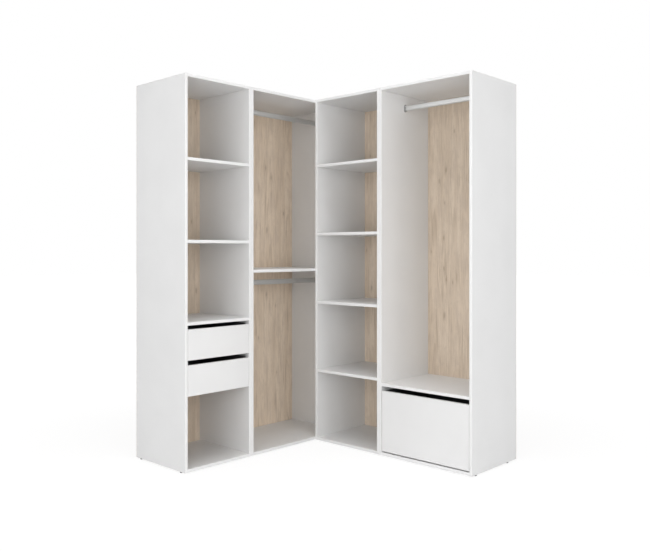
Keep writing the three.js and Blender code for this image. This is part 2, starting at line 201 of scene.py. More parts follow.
class Value:
    """A number that varies over a surface, written in ordinary sums."""

    def __init__(self, graph: Graph, socket: bpy.types.NodeSocket) -> None:
        """Wraps an output socket."""
        self.graph = graph
        self.socket = socket

    def _sum(self, operation: str, *terms: Value | float) -> Value:
        """One Math node of this operation on these terms."""
        return self.graph.value("ShaderNodeMath", {"operation": operation}, dict(enumerate(terms)))

    def __add__(self, other: Value | float) -> Value:
        """self + other."""
        return self._sum("ADD", self, other)

    def __sub__(self, other: Value | float) -> Value:
        """self - other."""
        return self._sum("SUBTRACT", self, other)

    def __rsub__(self, other: float) -> Value:
        """other - self."""
        return self._sum("SUBTRACT", other, self)

    def __mul__(self, other: Value | float) -> Value:
        """self * other."""
        return self._sum("MULTIPLY", self, other)

    def __truediv__(self, other: Value | float) -> Value:
        """self / other."""
        return self._sum("DIVIDE", self, other)

    def __pow__(self, other: float) -> Value:
        """self to the power of other."""
        return self._sum("POWER", self, other)

    def __abs__(self) -> Value:
        """self without its sign."""
        return self._sum("ABSOLUTE", self)

    def __floor__(self) -> Value:
        """The whole number under self."""
        return self._sum("FLOOR", self)

    __radd__ = __add__
    __rmul__ = __mul__

    def fraction(self) -> Value:
        """What is left over the whole number."""
        return self._sum("FRACT", self)

    def wave(self) -> Value:
        """The sine of self."""
        return self._sum("SINE", self)

    def larger(self, other: Value) -> Value:
        """The larger of self and other."""
        return self._sum("MAXIMUM", self, other)

    def ramp(self, low: float, high: float) -> Value:
        """A soft step.

        Args:
            low: where it is still 0.
            high: where it reaches 1; it falls instead where this is under low.

        Returns:
            0 to 1, eased at both ends.
        """
        swapped = high < low
        ends = {"From Min": min(low, high), "From Max": max(low, high),
                "To Min": float(swapped), "To Max": float(not swapped)}
        return self.graph.value("ShaderNodeMapRange", {"interpolation_type": "SMOOTHSTEP"},
                                {"Value": self, **ends})


class Surface(Graph):
    """The shader of one material, with the places on the piece in millimetres."""

    def __init__(self, material: bpy.types.Material, run: Run = Run.RIGHT) -> None:
        """Starts with a Principled shader and the run's own directions.

        Args:
            material: the material to fill.
            run: the run whose directions the pattern follows.
        """
        material.use_nodes = True
        super().__init__(material.node_tree)
        self.shader = self.node("ShaderNodeBsdfPrincipled")
        output = self.node("ShaderNodeOutputMaterial")
        self.tree.links.new(self.shader.outputs[0], output.inputs[0])
        place = self.node("ShaderNodeTexCoord").outputs["Object"]
        turned = {"Vector": place, "Rotation": (0.0, 0.0, -math.radians(run.value)),
                  "Scale": (1 / METRES,) * 3}
        mapped = self.value("ShaderNodeMapping", {"vector_type": "POINT"}, turned)
        parts = self.node("ShaderNodeSeparateXYZ", {}, {"Vector": mapped.socket})
        self.across, self.depth, self.up = (Value(self, socket) for socket in parts.outputs)

    def vector(self, x: Value | float, y: Value | float, z: Value | float = 0.0) -> Value:
        """A point made of three numbers."""
        return self.value("ShaderNodeCombineXYZ", {}, {0: x, 1: y, 2: z})

    def stretched(self, across: float, depth: float, up: float) -> Value:
        """The place on the piece, counted in spots of these three lengths in millimetres."""
        return self.vector(self.across / across, self.depth / depth, self.up / up)

    def spots(self, across: float, depth: float, up: float, *finer: float) -> Value:
        """Soft clouds whose spots have these lengths, with the detail and so on of noise()."""
        return self.noise(self.stretched(across, depth, up), *finer)

    def noise(self, at: Value, detail: float = 2.0, roughness: float = 0.5,
              warp: float = 0.0) -> Value:
        """Soft clouds, one spot to each unit of the place.

        Args:
            at: the place.
            detail: how many finer layers are added.
            roughness: how strong the finer layers are.
            warp: how far the clouds are pulled about.

        Returns:
            A number from 0 to 1, mostly near a half.
        """
        inputs = {"Vector": at, "Scale": 1.0, "Detail": detail, "Roughness": roughness,
                  "Distortion": warp}
        return self.value("ShaderNodeTexNoise", {}, inputs, "Fac")

    def blend(self, amount: Value | float, one: Value | Colour, other: Value | Colour) -> Value:
        """One colour turned into another.

        Args:
            amount: 0 for the first colour to 1 for the other.
            one: the first colour.
            other: the other colour.

        Returns:
            The mixed colour.
        """
        ends = [end if isinstance(end, Value) else (*end, 1.0) for end in (one, other)]
        inputs = {"Factor": amount, "A": ends[0], "B": ends[1]}
        return self.value("ShaderNodeMix", {"data_type": "RGBA"}, inputs, "Result")

    def shades(self, amount: Value, colour: Colour, low: float, high: float = 1.0) -> Value:
        """A colour times low, where the amount is 0, to the colour times high, where it is 1."""
        ends = [tuple(channel * factor for channel in colour) for factor in (low, high)]
        return self.blend(amount, *ends)

    def relief(self, height: Value, depth: float) -> Value:
        """The normal of a height from 0 to 1, whose whole step is so many millimetres deep."""
        inputs = {"Height": height, "Distance": depth * METRES, "Strength": 1.0}
        return self.value("ShaderNodeBump", {}, inputs, "Normal")

    def dress(self, **sockets: Any) -> None:
        """Sets or links the shader's sockets.

        Args:
            sockets: values or links by the sockets' names, written with _ for a space.
        """
        for name, value in sockets.items():
            socket = self.shader.inputs[name.replace("_", " ")]
            if isinstance(value, Value):
                self.tree.links.new(value.socket, socket)
            else:
                socket.default_value = value


# Finishes


@dataclass(frozen=True)
class Finish:
    """What a material of the wardrobe looks like."""

    name: str

    def paint(self, surface: Surface) -> None:
        """Fills the shader; each finish has its own."""
        raise NotImplementedError

    @property
    def run(self) -> Run:
        """The run whose directions the pattern follows."""
        return Run.RIGHT

    def material(self) -> bpy.types.Material:
        """The material of this finish, made the first time it is asked for.

        Returns:
            The Blender material.
        """
        found = bpy.data.materials.get(self.name)
        if found is None:
            found = bpy.data.materials.new(self.name)
            self.paint(Surface(found, self.run))
        return found


@dataclass(frozen=True)
class Melamine(Finish):
    """White melamine face with a fine pearl texture."""

    colour: Colour = (0.765, 0.765, 0.765)
    pearl: float = 1.1
    pearl_depth: float = 0.006
    cloud: float = 240.0

    def paint(self, surface: Surface) -> None:
        """White with a barely uneven tone and sheen.

        Args:
            surface: the shader to fill.
        """
        clouds = surface.spots(self.cloud, self.cloud, self.cloud, 3.0)
        pearls = surface.spots(self.pearl, self.pearl, self.pearl, 2.0, 0.6)
        surface.dress(
            Base_Color=surface.shades(clouds.ramp(0.3, 0.7), self.colour, 0.975),
            Roughness=0.36 + 0.08 * pearls + 0.06 * clouds,
            Normal=surface.relief(pearls, self.pearl_depth),
            Specular_IOR_Level=0.45,
        )


@dataclass(frozen=True)
class EdgeBand(Finish):
    """Glued plastic band on the edges of a board, a little smoother than its faces."""

    colour: Colour = (0.80, 0.80, 0.80)
    line: float = 0.35
    line_length: float = 60.0

    def paint(self, surface: Surface) -> None:
        """White with faint lines of the milling along the edge.

        Args:
            surface: the shader to fill.
        """
        lines = surface.spots(self.line, self.line, self.line_length)
        milled = surface.spots(self.line_length, self.line, self.line)
        surface.dress(
            Base_Color=surface.shades((lines + milled) / 2, self.colour, 0.98),
            Roughness=0.28 + 0.1 * lines,
            Normal=surface.relief(lines * milled, 0.008),
        )


@dataclass(frozen=True)
class Chipboard(Finish):
    """Sawn core of a board: pressed chips in a pale and a darker wood, with small voids whose darkness is
    painted shade.
    """

    pale: Colour = (0.56, 0.42, 0.26)
    brown: Colour = (0.32, 0.21, 0.12)
    void_shade: Colour = (0.10, 0.065, 0.04)
    chip: float = 1.6

    def paint(self, surface: Surface) -> None:
        """Flat chips of many tones, with painted shade in the voids.

        Args:
            surface: the shader to fill.
        """
        place = surface.stretched(self.chip * 2, self.chip, self.chip)
        chips = surface.value("ShaderNodeTexVoronoi", {}, {"Vector": place, "Scale": 1.0}, "Color")
        chip_tone = surface.value("ShaderNodeSeparateColor", {}, {0: chips})
        fibres = surface.spots(self.chip, self.chip / 4, self.chip / 4, 3.0)
        tone = surface.blend(chip_tone, self.brown, self.pale)
        tone = surface.blend(0.35 * fibres, tone, self.pale)
        # Painted shade: the small voids between chips are coloured nearly black for the shade inside them.
        void_shade_mask = fibres.ramp(0.36, 0.30)
        surface.dress(
            Base_Color=surface.blend(void_shade_mask, tone, self.void_shade),
            Roughness=0.85 - 0.1 * chip_tone,
            Normal=surface.relief(fibres + 0.5 * chip_tone, 0.25),
        )


@dataclass(frozen=True)
class Knot:
    """A small knot in the decor: its middle across and up the run, and half its width."""

    across: float
    up: float
    radius: float


@dataclass(frozen=True)
class Planks:
    """The planks of a printed decor: the place up the run, and the number of the plank."""

    surface: Surface
    up: Value
    number: Value

    def grain(self, across: Value, wide: float, long: float, *finer: float,
              offset: float = 0.0) -> Value:
        """Soft clouds drawn out along the planks, anew in each of them.

        Args:
            across: the place across, bent with the grain.
            wide: width of a spot in millimetres.
            long: its length.
            finer: the detail and so on of noise().
            offset: keeps layers of the same spots apart.

        Returns:
            A number from 0 to 1, mostly near a half.
        """
        number = self.number + offset if offset else self.number
        place = self.surface.vector(across / wide, self.up / long, number)
        return self.surface.noise(place, *finer)


@dataclass(frozen=True)
class OakDecor(Finish):
    """Printed light oak on a back panel: upright planks with a quiet, mottled, knotty grain. Each panel's copy
    is made lighter or darker by painted light.
    """

    along: Run
    joint: float
    shift: float
    knots: tuple[Knot, ...] = ()
    # Painted light: this factor makes the panel's copy of the print lighter or darker to stand in for the light
    # that falls into its bay.
    painted_lightness: float = 1.0
    figure: float = 1.0
    plank: float = 145.0
    pale: Colour = (0.720, 0.618, 0.515)
    warm: Colour = (0.610, 0.500, 0.395)
    dusk: Colour = (0.560, 0.465, 0.385)
    dark: Colour = (0.400, 0.305, 0.220)
    knot_core: Colour = (0.300, 0.222, 0.160)
    warmth: Colour = (1.0, 0.995, 0.975)
    knot_cell: tuple[float, float] = (230.0, 700.0)
    knot_radius: float = 3.0
    knot_stretch: float = 2.7
    ring_width: float = 38.0
    ring_length: float = 420.0

    @property
    def run(self) -> Run:
        """The back panel's run."""
        return self.along

    def _inked_and_lit(self, colour: Colour) -> Colour:
        """An ink in the print's warmth, made lighter or darker by this panel's painted light."""
        return tuple(part * tint * self.painted_lightness for part, tint in zip(colour, self.warmth))

    def _knot_reaches(self, surface: Surface, number: Value) -> list[tuple[Value, Value]]:
        """How far each place is from the knots.

        Args:
            surface: the shader.
            number: the number of the plank at each place.

        Returns:
            For each knot, or all scattered ones together, the distance aside in millimetres and
            the distance in knot radii.
        """
        wide, long = self.knot_cell
        place = surface.vector(surface.across / wide + 3.7 * number, surface.up / long + self.shift)
        cells = surface.node("ShaderNodeTexVoronoi", {"voronoi_dimensions": "2D"},
                             {"Vector": place, "Scale": 1.0, "Randomness": 0.85})
        beside = surface.value("ShaderNodeVectorMath", {"operation": "SUBTRACT"},
                               {0: place, 1: cells.outputs["Position"]})
        aside = surface.value("ShaderNodeSeparateXYZ", {}, {0: beside}) * wide
        reach = Value(surface, cells.outputs["Distance"]) * (wide / self.knot_radius)
        reaches = [(aside, reach)]
        for knot in self.knots:
            aside = surface.across - knot.across
            rise = (surface.up - knot.up) / (knot.radius * self.knot_stretch)
            reaches.append((aside, ((aside / knot.radius) ** 2.0 + rise ** 2.0) ** 0.5))
        return reaches

    def paint(self, surface: Surface) -> None:
        """Planks, knots, rings, mottles, streaks and pores, from the coarse to the fine.

        Args:
            surface: the shader to fill.
        """
        place = (surface.across - self.joint) / self.plank
        number = math.floor(place) + self.shift
        plank_tone = surface.value("ShaderNodeTexWhiteNoise", {"noise_dimensions": "1D"},
                                   {"W": number}, "Value")
        seam = abs(place.fraction() - 0.5).ramp(0.4930, 0.4985)
        up = surface.up + 640.0 * plank_tone + 100.0 * self.shift
        planks = Planks(surface, up, number)

        # The grain bends round the knots, then sways and wanders
        reaches = self._knot_reaches(surface, number)
        bent = surface.across + 31.0 * self.shift
        for aside, reach in reaches:
            bent = bent - 0.85 * aside * reach.ramp(4.5, 0.5)
        sway = planks.grain(bent, 110, 520) - 0.5
        wander = planks.grain(bent, 20, 90) - 0.5
        line = bent + 30.0 * sway + 5.0 * wander

        # Growth rings make arches about the middle of a plank
        centre = (line / self.plank + 0.3 * plank_tone).fraction() - 0.5
        arch = (centre * (self.plank / self.ring_width)) ** 2.0
        rings = (arch + up / self.ring_length + 1.6 * sway).fraction()
        late_wood = (rings ** 2.5) * planks.grain(line, 70, 260, 1.0).ramp(0.40, 0.70)

        broad = planks.grain(line, 30, 1100, 2.0, 0.6)
        clouds = planks.grain(bent, 42, 130, 3.0, 0.55, 0.4, offset=5.0)
        mottles = planks.grain(bent, 13, 40, 2.0, 0.6, 0.5, offset=9.0)
        bundles = planks.grain(line, 34, 240, 2.0, 0.5, 0.4, offset=2.0)
        cords = planks.grain(line, 5.2, 330, 1.0)
        streaks = planks.grain(line, 3.6, 210, 3.0, 0.6)
        fibres = planks.grain(line, 1.3, 55, 3.0, 0.65)
        pores = planks.grain(line, 0.8, 12).ramp(0.60, 0.72)

        # Every ink carries the panel's painted light through its lightness factor.
        tone, warm, dusk, dark, core = map(
            self._inked_and_lit, (self.pale, self.warm, self.dusk, self.dark, self.knot_core))
        prints = [
            (0.75 * broad.ramp(0.30, 0.70), warm),
            (0.22 * plank_tone, warm),
            (0.60 * clouds.ramp(0.42, 0.72), dusk),
            (0.50 * mottles.ramp(0.48, 0.76), dusk),
            (0.42 * self.figure * late_wood, dark),
            (0.72 * self.figure * cords.ramp(0.50, 0.70) * bundles.ramp(0.42, 0.62), dark),
            (0.38 * self.figure * streaks.ramp(0.52, 0.76), dark),
            (0.24 * self.figure * fibres.ramp(0.42, 0.74), dark),
            (0.22 * pores, dark),
        ]
        for _, reach in reaches:
            prints.append((0.26 * reach.ramp(4.4, 0.8) * (0.3 + streaks), dark))
            prints.append((0.48 * reach.ramp(1.7, 0.3), core))
        prints.append((0.60 * seam * bundles.ramp(0.35, 0.55), dark))
        for share, ink in prints:
            tone = surface.blend(share, tone, ink)
        surface.dress(
            Base_Color=tone,
            Roughness=0.52 + 0.14 * fibres,
            Normal=surface.relief(0.0 - pores - 0.4 * fibres - seam, 0.03),
            Specular_IOR_Level=0.35,
        )


@dataclass(frozen=True)
class Fibreboard(Finish):
    """Bare reverse and edges of a back panel: brown pressed fibre with the print of a sieve."""

    brown: Colour = (0.30, 0.195, 0.115)
    pale: Colour = (0.44, 0.31, 0.20)
    sieve: float = 1.3

    def paint(self, surface: Surface) -> None:
        """Brown fibre with fine dimples.

        Args:
            surface: the shader to fill.
        """
        clouds = surface.spots(90, 90, 90, 4.0, 0.6)
        fibres = surface.spots(2.4, 2.4, 0.8, 4.0, 0.7, 0.8)
        rows, columns = ((place * (math.tau / self.sieve)).wave()
                         for place in (surface.across + surface.depth, surface.up))
        tone = surface.blend((0.5 * clouds + 0.6 * fibres).ramp(0.3, 0.8), self.brown, self.pale)
        surface.dress(
            Base_Color=tone,
            Roughness=0.74 + 0.12 * fibres,
            Normal=surface.relief(0.25 * rows * columns + fibres, 0.06),
        )


@dataclass(frozen=True)
class BrushedSteel(Finish):
    """Satin plated tube, with fine lines along its length."""

    along: Run
    colour: Colour = (0.70, 0.705, 0.70)
    line: float = 0.25
    line_length: float = 120.0

    @property
    def run(self) -> Run:
        """The rail's run."""
        return self.along

    def paint(self, surface: Surface) -> None:
        """Metal with drawn lines and a little handling.

        Args:
            surface: the shader to fill.
        """
        lines = surface.spots(self.line_length, self.line, self.line, 3.0, 0.6)
        smears = surface.spots(70, 25, 25, 3.0)
        surface.dress(
            Base_Color=surface.shades(lines, self.colour, 0.88),
            Metallic=0.8,
            Roughness=0.40 + 0.08 * lines + 0.08 * smears,
            Normal=surface.relief(lines, 0.004),
        )


@dataclass(frozen=True)
class Moulded(Finish):
    """Moulded plastic with a fine spark texture."""

    colour: Colour
    gloss: float = 0.4
    spark: float = 0.35

    def paint(self, surface: Surface) -> None:
        """An even colour with a fine matt grain and faint flow marks.

        Args:
            surface: the shader to fill.
        """
        sparks = surface.spots(self.spark, self.spark, self.spark, 2.0, 0.7)
        flow = surface.spots(9, 9, 9, 2.0, 0.5, 1.0)
        surface.dress(
            Base_Color=surface.shades(0.5 * sparks + 0.5 * flow, self.colour, 0.86),
            Roughness=self.gloss + 0.16 * sparks,
            Normal=surface.relief(sparks, 0.012),
        )


@dataclass(frozen=True)
class EpoxySteel(Finish):
    """Pale epoxy coat on folded steel, with a light orange peel and some dust."""

    colour: Colour = (0.74, 0.745, 0.73)
    peel: float = 1.6

    def paint(self, surface: Surface) -> None:
        """A pale coat with a soft relief.

        Args:
            surface: the shader to fill.
        """
        peel = surface.spots(self.peel, self.peel, self.peel)
        dust = surface.spots(30, 30, 30, 4.0, 0.65)
        surface.dress(
            Base_Color=surface.shades(dust.ramp(0.35, 0.65), self.colour, 0.88),
            Roughness=0.30 + 0.16 * dust,
            Normal=surface.relief(peel, 0.02),
            Coat_Weight=0.2 + 0.2 * peel,
        )


@dataclass(frozen=True)
class Zinc(Finish):
    """Zinc plated screws, nails, rivets and cams, with a mottled sheen."""

    colour: Colour = (0.60, 0.61, 0.62)
    spot: float = 1.4

    def paint(self, surface: Surface) -> None:
        """Bright metal with cloudy spots.

        Args:
            surface: the shader to fill.
        """
        spots = surface.spots(self.spot, self.spot, self.spot, 4.0, 0.6, 0.6)
        surface.dress(
            Base_Color=surface.shades(spots.ramp(0.3, 0.7), self.colour, 0.72),
            Metallic=1.0,
            Roughness=0.28 + 0.22 * spots,
            Normal=surface.relief(spots, 0.01),
        )


@dataclass(frozen=True)
class DarkFoil(Finish):
    """Dark grey foil on the drawer boxes, embossed with a fine weave."""

    colour: Colour = (0.025, 0.025, 0.027)
    thread: float = 0.7

    def paint(self, surface: Surface) -> None:
        """Nearly black, with an embossed weave.

        Args:
            surface: the shader to fill.
        """
        length = self.thread * 12
        threads = surface.spots(length, length, self.thread)
        cross = surface.spots(self.thread, self.thread, length)
        surface.dress(
            Base_Color=surface.shades(threads * cross, self.colour, 1.0, 1.7),
            Roughness=0.46 + 0.2 * threads,
            Normal=surface.relief(threads + cross, 0.03),
        )


@dataclass(frozen=True)
class Palette:
    """The finishes that pieces share."""

    face: Finish = Melamine("white_melamine")
    band: Finish = EdgeBand("white_edge_band")
    core: Finish = Chipboard("bare_chipboard")
    reverse: Finish = Fibreboard("bare_fibreboard")
    socket: Finish = Moulded("grey_socket_plastic", (0.34, 0.345, 0.34))
    cap: Finish = Moulded("white_cap_plastic", (0.76, 0.76, 0.75), 0.35)
    foot: Finish = Moulded("black_foot_plastic", (0.020, 0.020, 0.021), 0.5)
    roller: Finish = Moulded("pale_roller_nylon", (0.70, 0.70, 0.67), 0.38)
    runner: Finish = EpoxySteel("runner_epoxy")
    zinc: Finish = Zinc("zinc_plating")
    foil: Finish = DarkFoil("dark_drawer_foil")


PALETTE = Palette()


# Shapes


def around(centre: Sequence[float], radius: float, angle: float) -> tuple[float, float]:
    """The point of a circle at an angle."""
    return centre[0] + radius * math.cos(angle), centre[1] + radius * math.sin(angle)


def rounded(lo: Sequence[float], hi: Sequence[float], radii: Sequence[float],
            steps: int = 4) -> Outline:
    """A rectangle with rounded corners.

    Args:
        lo: its low corner.
        hi: its high corner.
        radii: the radius at low-low, high-low, high-high and low-high.
        steps: facets of each round.

    Returns:
        The outline, anticlockwise.
    """
    corners = ((lo[0], lo[1], 1, 1), (hi[0], lo[1], -1, 1),
               (hi[0], hi[1], -1, -1), (lo[0], hi[1], 1, -1))
    points: Outline = []
    for quarter, ((x, y, right, over), radius) in enumerate(zip(corners, radii)):
        if radius <= 0:
            points.append((x, y))
            continue
        for step in range(steps + 1):
            angle = math.pi + (quarter + step / steps) * math.pi / 2
            points.append(around((x + right * radius, y + over * radius), radius, angle))
    return points


def oval(wide: float, tall: float, steps: int = 16) -> Outline:
    """An upright oval of this width and height, about the middle, with facets for each quarter."""
    return rounded((-wide / 2, -tall / 2), (wide / 2, tall / 2), (wide / 2,) * 4, steps)


def folded(path: Sequence[tuple[float, float]], thickness: float, bend: float,
           steps: int = 5) -> Outline:
    """The section of a strip of even thickness on the left of a path with square folds.

    Args:
        path: the corners of the path.
        thickness: of the strip.
        bend: inside radius of each fold.
        steps: facets of each fold.

    Returns:
        The outline.
    """
    corners = [Vector(point) for point in path]
    near = [corners[0]]
    for before, corner, after in zip(corners, corners[1:], corners[2:]):
        back = (before - corner).normalized()
        ahead = (after - corner).normalized()
        inside = ahead.x * back.y - ahead.y * back.x > 0
        radius = bend + thickness if inside else bend
        centre = corner + radius * (back + ahead)
        for step in range(steps + 1):
            angle = step / steps * math.pi / 2
            near.append(centre - radius * (ahead * math.cos(angle) + back * math.sin(angle)))
    near.append(corners[-1])
    far = []
    for i, point in enumerate(near):
        before = (point - near[max(i - 1, 0)]).normalized()
        after = (near[min(i + 1, len(near) - 1)] - point).normalized()
        along = (before + after).normalized()
        turn = along.dot(after) if 0 < i < len(near) - 1 else 1.0
        far.append(point + Vector((-along.y, along.x)) * (thickness / turn))
    return [tuple(point) for point in (*near, *reversed(far))]


def about(centre: Vector, outline: Outline) -> Outline:
    """An outline in depth and up, set about a centre."""
    return [(centre.y + y, centre.z + z) for y, z in outline]


class Shell:
    """One closed body in millimetres."""

    def __init__(self, smooth: bool = False) -> None:
        """Starts with nothing in it; smooth shells are shaded round."""
        self.bm = bmesh.new()
        self.smooth = smooth

    @classmethod
    def prism(cls, outline: Outline, axis: Axis, start: float, end: float,
              hole: Outline | None = None, smooth: bool = False) -> Shell:
        """An outline run along one direction.

        Args:
            outline: points in the two other directions, in the order across, depth, up.
            axis: the direction it runs in.
            start: where it starts.
            end: where it ends.
            hole: an outline with as many points that stays open.
            smooth: whether it is shaded round.

        Returns:
            The closed shell.
        """
        shell = cls(smooth)
        rims = []
        for ring in filter(None, (outline, hole)):
            for place in (start, end):
                rims.append([shell._vertex(point, axis, place) for point in ring])
        for low, high in zip(rims[::2], rims[1::2]):
            shell._bridge(low, high)
        if hole:
            shell._bridge(rims[0], rims[2])
            shell._bridge(rims[1], rims[3])
        else:
            shell.bm.faces.new(rims[0])
            shell.bm.faces.new(rims[1])
        return shell.closed()

    @classmethod
    def block(cls, box: Block, edge: float = 0.0) -> Shell:
        """A box with softened edges.

        Args:
            box: its size and place.
            edge: how much is taken off its edges.

        Returns:
            The closed shell.
        """
        section = rounded(box.lo[:2], box.hi[:2], (0,) * 4)
        shell = cls.prism(section, Axis.UP, box.lo.z, box.hi.z)
        return shell.soften(shell.bm.edges[:], edge, 1) if edge > 0 else shell

    @classmethod
    def turned(cls, profile: Sequence[tuple[float, float]], sides: int) -> Shell:
        """A profile turned about the upright axis.

        Args:
            profile: points as (radius, height), from one end of the axis to the other.
            sides: facets round it.

        Returns:
            The closed shell, shaded round.
        """
        shell = cls(smooth=True)
        rings = []
        for radius, height in profile:
            points = [around((0, 0), radius, math.tau * i / sides)
                      for i in range(sides if radius > 0 else 1)]
            rings.append([shell.bm.verts.new((*point, height)) for point in points])
        for low, high in zip(rings, rings[1:]):
            shell._bridge(low, high)
        return shell.closed()

    @classmethod
    def taken(cls, mesh: bpy.types.Mesh) -> Shell:
        """The shells of a mesh.

        Args:
            mesh: the mesh, which is used up.

        Returns:
            Its shells as one.
        """
        shell = cls()
        shell.bm.from_mesh(mesh)
        bpy.data.meshes.remove(mesh)
        return shell

    def _vertex(self, point: tuple[float, float], axis: Axis, place: float) -> bmesh.types.BMVert:
        """A vertex of an outline.

        Args:
            point: its place in the two other directions.
            axis: the direction that the outline runs in.
            place: its place in that direction.

        Returns:
            The new vertex.
        """
        coordinates = list(point)
        coordinates.insert(axis.value, place)
        return self.bm.verts.new(coordinates)

    def _bridge(self, low: Ring, high: Ring) -> None:
        """Faces between two rings.

        Args:
            low: one ring, or a single point.
            high: the other ring or point.
        """
        count = max(len(low), len(high))
        for i in range(count):
            corners = ((low, i), (low, i + 1), (high, i + 1), (high, i))
            distinct = list(dict.fromkeys(ring[j % count % len(ring)] for ring, j in corners))
            if len(distinct) > 2:
                self.bm.faces.new(distinct)

    def closed(self) -> Shell:
        """Points the faces outwards and sets their shading.

        Returns:
            The same shell.
        """
        bmesh.ops.recalc_face_normals(self.bm, faces=self.bm.faces[:])
        for face in self.bm.faces:
            face.smooth = self.smooth
        return self

    def soften(self, edges: list[bmesh.types.BMEdge], width: float, steps: int) -> Shell:
        """Rounds some of the edges.

        Args:
            edges: the edges.
            width: how much is taken off them.
            steps: facets of each.

        Returns:
            The same shell.
        """
        bmesh.ops.bevel(self.bm, geom=edges, offset=width, segments=steps, profile=0.5,
                        affect="EDGES")
        return self.closed()

    def moved(self, seat: Seat) -> Shell:
        """The shell put on a seat.

        Args:
            seat: where its origin goes, and where its upright axis then points.

        Returns:
            The same shell.
        """
        turn = seat.aim.to_track_quat("Z", "Y").to_matrix().to_4x4()
        self.bm.transform(Matrix.Translation(seat.place) @ turn)
        return self

    def without(self, *cutters: Shell) -> Shell:
        """The shell with others cut out of it.

        Args:
            cutters: the shells that are taken away.

        Returns:
            The same shell.
        """
        target = linked("cut_target", self.mesh("cut_target"))
        tools = [linked("cut_tool", cutter.mesh("cut_tool")) for cutter in cutters]
        for tool in tools:
            modifier = target.modifiers.new("cut", "BOOLEAN")
            modifier.operation = "DIFFERENCE"
            modifier.solver = "EXACT"
            modifier.object = tool
        mesh = evaluated_mesh(target)
        self.bm.clear()
        self.bm.from_mesh(mesh)
        bpy.data.meshes.remove(mesh)
        for passing in (*tools, target):
            discard(passing)
        for cutter in cutters:
            cutter.bm.free()
        return self

    def mesh(self, name: str) -> bpy.types.Mesh:
        """A mesh of this shell.

        Args:
            name: the mesh's name.

        Returns:
            The mesh.
        """
        mesh = bpy.data.meshes.new(name)
        self.bm.to_mesh(mesh)
        return mesh


def linked(name: str, data: Any) -> bpy.types.Object:
    """A new object in the scene.

    Args:
        name: its name.
        data: its mesh, lamp or camera.

    Returns:
        The object.
    """
    made = bpy.data.objects.new(name, data)
    bpy.context.scene.collection.objects.link(made)
    return made


def evaluated_mesh(source: bpy.types.Object) -> bpy.types.Mesh:
    """A new mesh of an object with its modifiers applied."""
    graph = bpy.context.evaluated_depsgraph_get()
    return bpy.data.meshes.new_from_object(source.evaluated_get(graph), depsgraph=graph)


def discard(passing: bpy.types.Object) -> None:
    """Removes an object and its mesh.

    Args:
        passing: the object.
    """
    mesh = passing.data
    bpy.data.objects.remove(passing)
    bpy.data.meshes.remove(mesh)


class Piece:
    """A finished piece of the wardrobe, gathered from its shells."""

    def __init__(self, name: str, run: Run) -> None:
        """Starts an empty piece.

        Args:
            name: its name.
            run: the run whose directions its shells are drawn in.
        """
        self.name = name
        self.run = run
        self.bm = bmesh.new()
        self.finishes: list[Finish] = []

    def _index(self, finish: Finish) -> int:
        """The material slot of a finish, which is added where it is new.

        Args:
            finish: the finish.

        Returns:
            Its slot's number.
        """
        if finish not in self.finishes:
            self.finishes.append(finish)
        return self.finishes.index(finish)

    def add(self, shell: Shell, finish: Finish,
            bare: tuple[Finish, Callable[[bmesh.types.BMFace], bool]] | None = None) -> Piece:
        """Takes in a shell.

        Args:
            shell: the shell, which is used up.
            finish: its finish.
            bare: another finish, and the test for the faces that have it.

        Returns:
            This piece.
        """
        for face in shell.bm.faces:
            face.normal_update()
            other = bare is not None and bare[1](face)
            face.material_index = self._index(bare[0] if other else finish)
        mesh = shell.mesh("shell")
        shell.bm.free()
        self.bm.from_mesh(mesh)
        bpy.data.meshes.remove(mesh)
        return self

    def done(self, body: str, nodes: Sequence[str] = (),
             slot: str | None = None) -> bpy.types.Object:
        """Makes the object and fixes it to the frame.

        Args:
            body: the body that it rides on.
            nodes: the nodes that it stands for.
            slot: the record's material slot; not used.

        Returns:
            The finished object.
        """
        mesh = bpy.data.meshes.new(self.name)
        self.bm.to_mesh(mesh)
        self.bm.free()
        for finish in self.finishes:
            mesh.materials.append(finish.material())
        return settle(self.name, mesh, self.run, body, nodes)


def settle(name: str, mesh: bpy.types.Mesh, run: Run, body: str, nodes: Sequence[str] = ()) -> bpy.types.Object:
    """Turns a mesh into the frame, makes its object and lets it ride on its body.

    Args:
        name: the piece's name.
        mesh: its mesh, in millimetres and in the directions of its run.
        run: that run.
        body: the body that it rides on.
        nodes: the nodes that it stands for.

    Returns:
        The finished object.
    """
    mesh.transform(run.turn @ Matrix.Scale(METRES, 4))
    mesh.set_sharp_from_angle(angle=math.radians(CREASE))
    made = linked(name, mesh)
    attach(made, body)
    if nodes:
        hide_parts(*nodes)
    LOG.info("%s: %d faces on %s", name, len(mesh.polygons), body)
    return made


# Fittings, set on points by Geometry Nodes


@dataclass(frozen=True)
class Seat:
    """Where a fitting sits and which way its head points."""

    place: Vector
    aim: Vector


